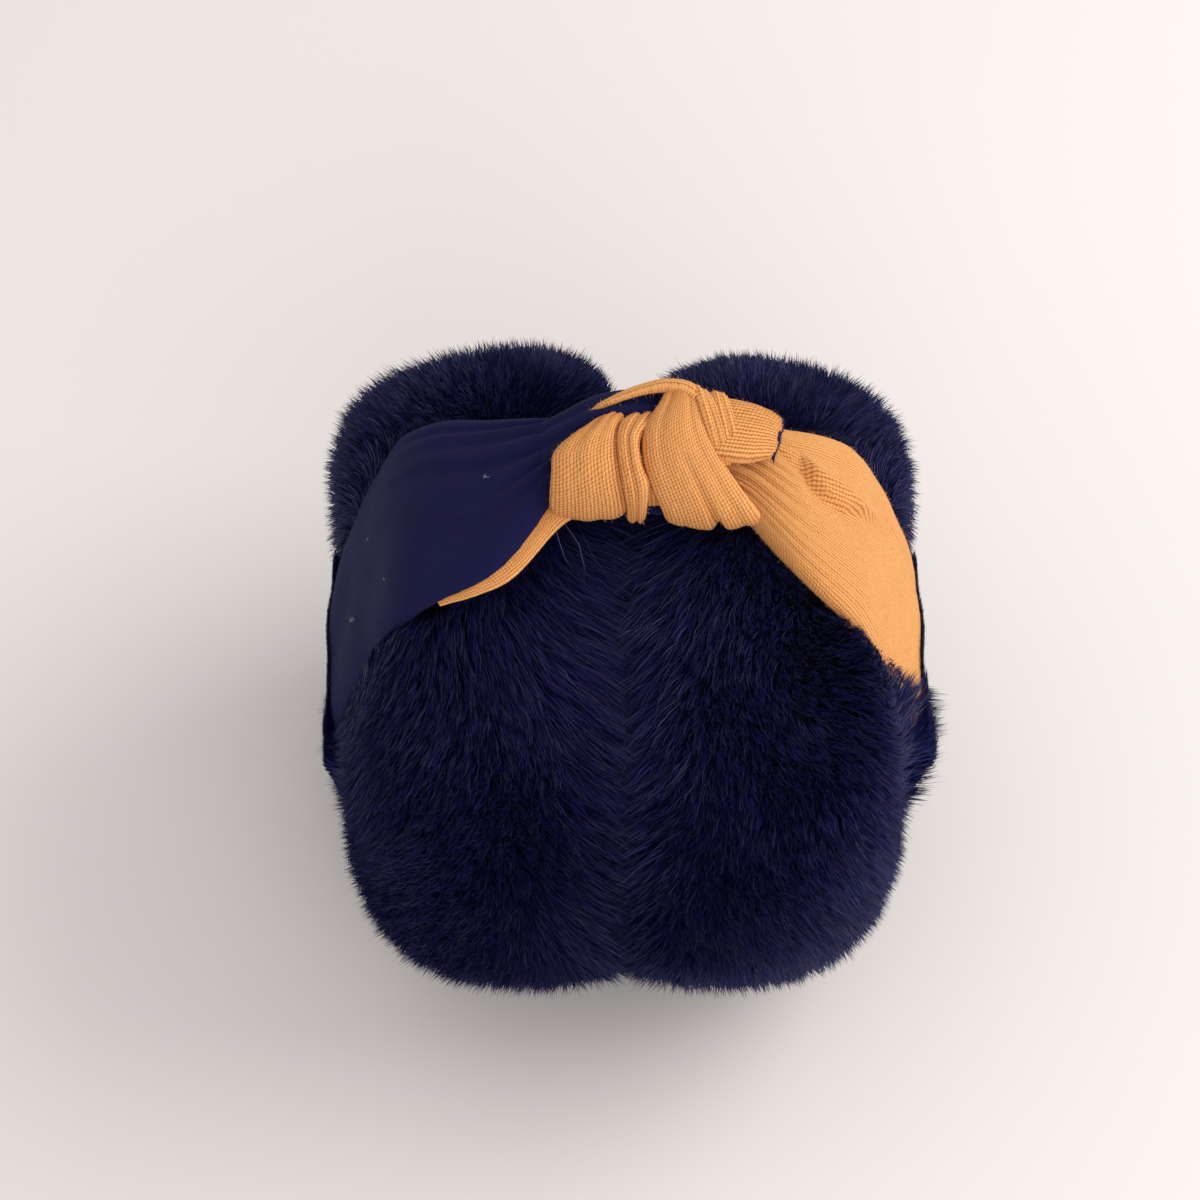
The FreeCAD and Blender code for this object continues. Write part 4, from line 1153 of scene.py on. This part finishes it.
def fuzz(piece, count, length, width, material, seed):
    """Fine loose fibres that stand off a cloth's surface."""
    rng = np.random.default_rng(seed)
    mesh = piece.data
    co = np.empty(len(mesh.vertices) * 3)
    mesh.vertices.foreach_get("co", co)
    normal = np.empty(len(mesh.vertices) * 3)
    mesh.vertex_normals.foreach_get("vector", normal)
    pick = rng.integers(0, len(mesh.vertices), count)
    roots = co.reshape(-1, 3)[pick]
    out = normal.reshape(-1, 3)[pick]
    side = rng.normal(size=(count, 3))
    reach = length * (0.4 + 0.6 * rng.random(count))[:, None] * MM
    bends = roots + (out * 0.5 + side * 0.25) * reach
    tips = roots + (out * 0.55 + side * 0.6) * reach
    return blade_mesh(piece.name + "_fuzz", roots, bends, tips, np.full(count, width * MM), rng, material)


LINT = [(25.0, -2.0, 0.45), (68.0, -10.0, 0.6), (46.0, -15.0, 0.2), (58.0, 2.0, 0.2)]
THREADS = [((-9.0, -8.5, 63.0), (-6.0, -16.0, 60.0), (-1.0, -20.0, 58.5)),
           ((-12.0, -8.0, 64.0), (-7.0, -13.0, 62.5), (-8.0, -19.0, 59.0)),
           ((-13.0, -6.5, 66.0), (-14.0, -12.0, 63.5), (-10.0, -17.0, 60.5))]


def build_lint():
    """Pale fluff caught on the navy cloth, and loose sewing threads under the knot."""
    rng = np.random.default_rng(77)
    roots, bends, tips = [], [], []
    for distance, y, size in LINT:
        x, z = arch(-distance, 4.9)
        middle = np.array([float(x), y, float(z)])
        for _ in range(12):
            a, b, bend = rng.normal(size=(3, 3)) * size
            roots.append(middle + a * 0.5)
            tips.append(middle + b)
            bends.append(middle + bend * 0.8)
    points = [to_frame(*np.array(group).T) for group in (roots, bends, tips)]
    lint = blade_mesh("left_lint", *points, np.full(len(roots), 0.05 * MM), rng,
                      fur_fibre("pale_lint", (0.34, 0.35, 0.40), 0.9))
    attach(lint, "left_arm")
    root, bend, tip = (to_frame(*np.array(group, float).T) for group in zip(*THREADS))
    threads = blade_mesh("knot_threads", root, bend, tip, np.full(len(root), 0.16 * MM), rng,
                         fur_fibre("navy_thread", (0.06, 0.065, 0.16), 0.7))
    attach(threads, "crown")


# Width (mm) of the lining that shows, along the arch.
LIP_WIDTH = [(8.0, 4.5), (12.5, 5.0), (15.5, 4.2), (19.0, 3.6),
             (23.0, 2.9), (27.0, 1.9), (31.0, 1.1), (36.0, 0.3)]


def build_lip():
    """Mustard lining that shows along the front edge of the navy side, widest next to the knot."""
    rows = []
    for distance in np.linspace(9.0, 36.5, 12):
        front = float(band_edges("left", distance)[0])
        width = float(np.interp(distance, *zip(*LIP_WIDTH)))
        inner_x, inner_z = arch(-distance, 0.6)
        outer_x, outer_z = arch(-distance, -0.9)
        rows.append(((float(inner_x), front + 3.0, float(inner_z)),
                     (float(outer_x), front - width, float(outer_z)), 0.7 + 0.16 * width))
    lip = cloth_strip("left_lining_lip", rows, MUSTARD, along_count=120, seed=13, unevenness=0.08)
    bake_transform(lip)


# ------------------------------------------------------------------ stage

def build_stage():
    """Plain floor and white surroundings, one broad lamp from the right and one from the front."""
    floor = mesh_object("floor", np.array([[-3, -3, 0], [3, -3, 0], [3, 3, 0], [-3, 3, 0]], float),
                        [(0, 1, 2, 3)], FLOOR, smooth=False)
    world = bpy.data.worlds.new("studio")
    bpy.context.scene.world = world
    world.use_nodes = True
    background = world.node_tree.nodes["Background"]
    background.inputs["Color"].default_value = (1.0, 0.975, 0.965, 1.0)
    background.inputs["Strength"].default_value = 0.72
    add_light("key", (0.74, 0.16, 0.66), 0.8, 6.1, (1.0, 0.965, 0.93))
    add_light("front_fill", (0.25, -1.0, 0.7), 0.9, 4.2, (1.0, 0.975, 0.96))
    bpy.context.scene.view_settings.view_transform = "Standard"


def add_light(name, place, size, power, color):
    data = bpy.data.lights.new(name, "AREA")
    data.size = size
    data.energy = power
    data.color = color
    lamp = new_object(name, data)
    lamp.location = place
    aim = Vector((0.0, 0.0, PAD_HEIGHT * MM)) - lamp.location
    lamp.rotation_euler = aim.to_track_quat("-Z", "Y").to_euler()


# Degrees above the floor, and metres.
CAMERA_ELEVATION = 57.0
CAMERA_DISTANCE = 0.78
FRAME_WIDTH = 0.240
VIEW_RIGHT_SHIFT = 0.0050
VIEW_UP_SHIFT = 0.0134


def build_camera():
    rise = math.radians(CAMERA_ELEVATION)
    back = Vector((0.0, -math.cos(rise), math.sin(rise)))
    up = Vector((0.0, math.sin(rise), math.cos(rise)))
    target = Vector((0.0, 0.0, PAD_HEIGHT * MM)) + up * VIEW_UP_SHIFT - Vector((VIEW_RIGHT_SHIFT, 0.0, 0.0))
    data = bpy.data.cameras.new("camera")
    data.sensor_width = 36.0
    data.lens = 36.0 * CAMERA_DISTANCE / FRAME_WIDTH
    camera = new_object("camera", data)
    camera.location = target + back * CAMERA_DISTANCE
    camera.rotation_euler = (-back).to_track_quat("-Z", "Y").to_euler()
    bpy.context.scene.camera = camera


NODE_FINISHES = [
    ("spring_strip", metal("spring_steel", (0.60, 0.60, 0.61), 0.32, 900.0)),
    ("swivel_rivet", metal("rivet_steel", (0.66, 0.65, 0.63), 0.28, 1500.0)),
    ("swivel_washers", moulded_plastic("nylon", (0.62, 0.60, 0.55))),
    ("clamp_ring", moulded_plastic("black_plastic", (0.012, 0.012, 0.014))),
    ("ear_plate", moulded_plastic("black_plate", (0.012, 0.012, 0.014))),
    ("slider_strip", moulded_plastic("black_slider", (0.014, 0.014, 0.016))),
    ("arm_channel", moulded_plastic("black_channel", (0.014, 0.014, 0.016))),
]


def finish_nodes():
    """Give each CAD node that stays visible its own finish."""
    for name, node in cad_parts.items():
        for part, material in NODE_FINISHES:
            if part in name:
                node.data.materials.clear()
                node.data.materials.append(material)
                break


finish_nodes()
for pad_side in ("left", "right"):
    build_fur(pad_side)
    grow_end_tuft(pad_side)
    build_ear_plush(pad_side)
    build_wadding(pad_side)
    build_gather_cord(pad_side)
    build_band(pad_side)
build_knot()
build_lip()
build_lint()
build_stage()
build_camera()
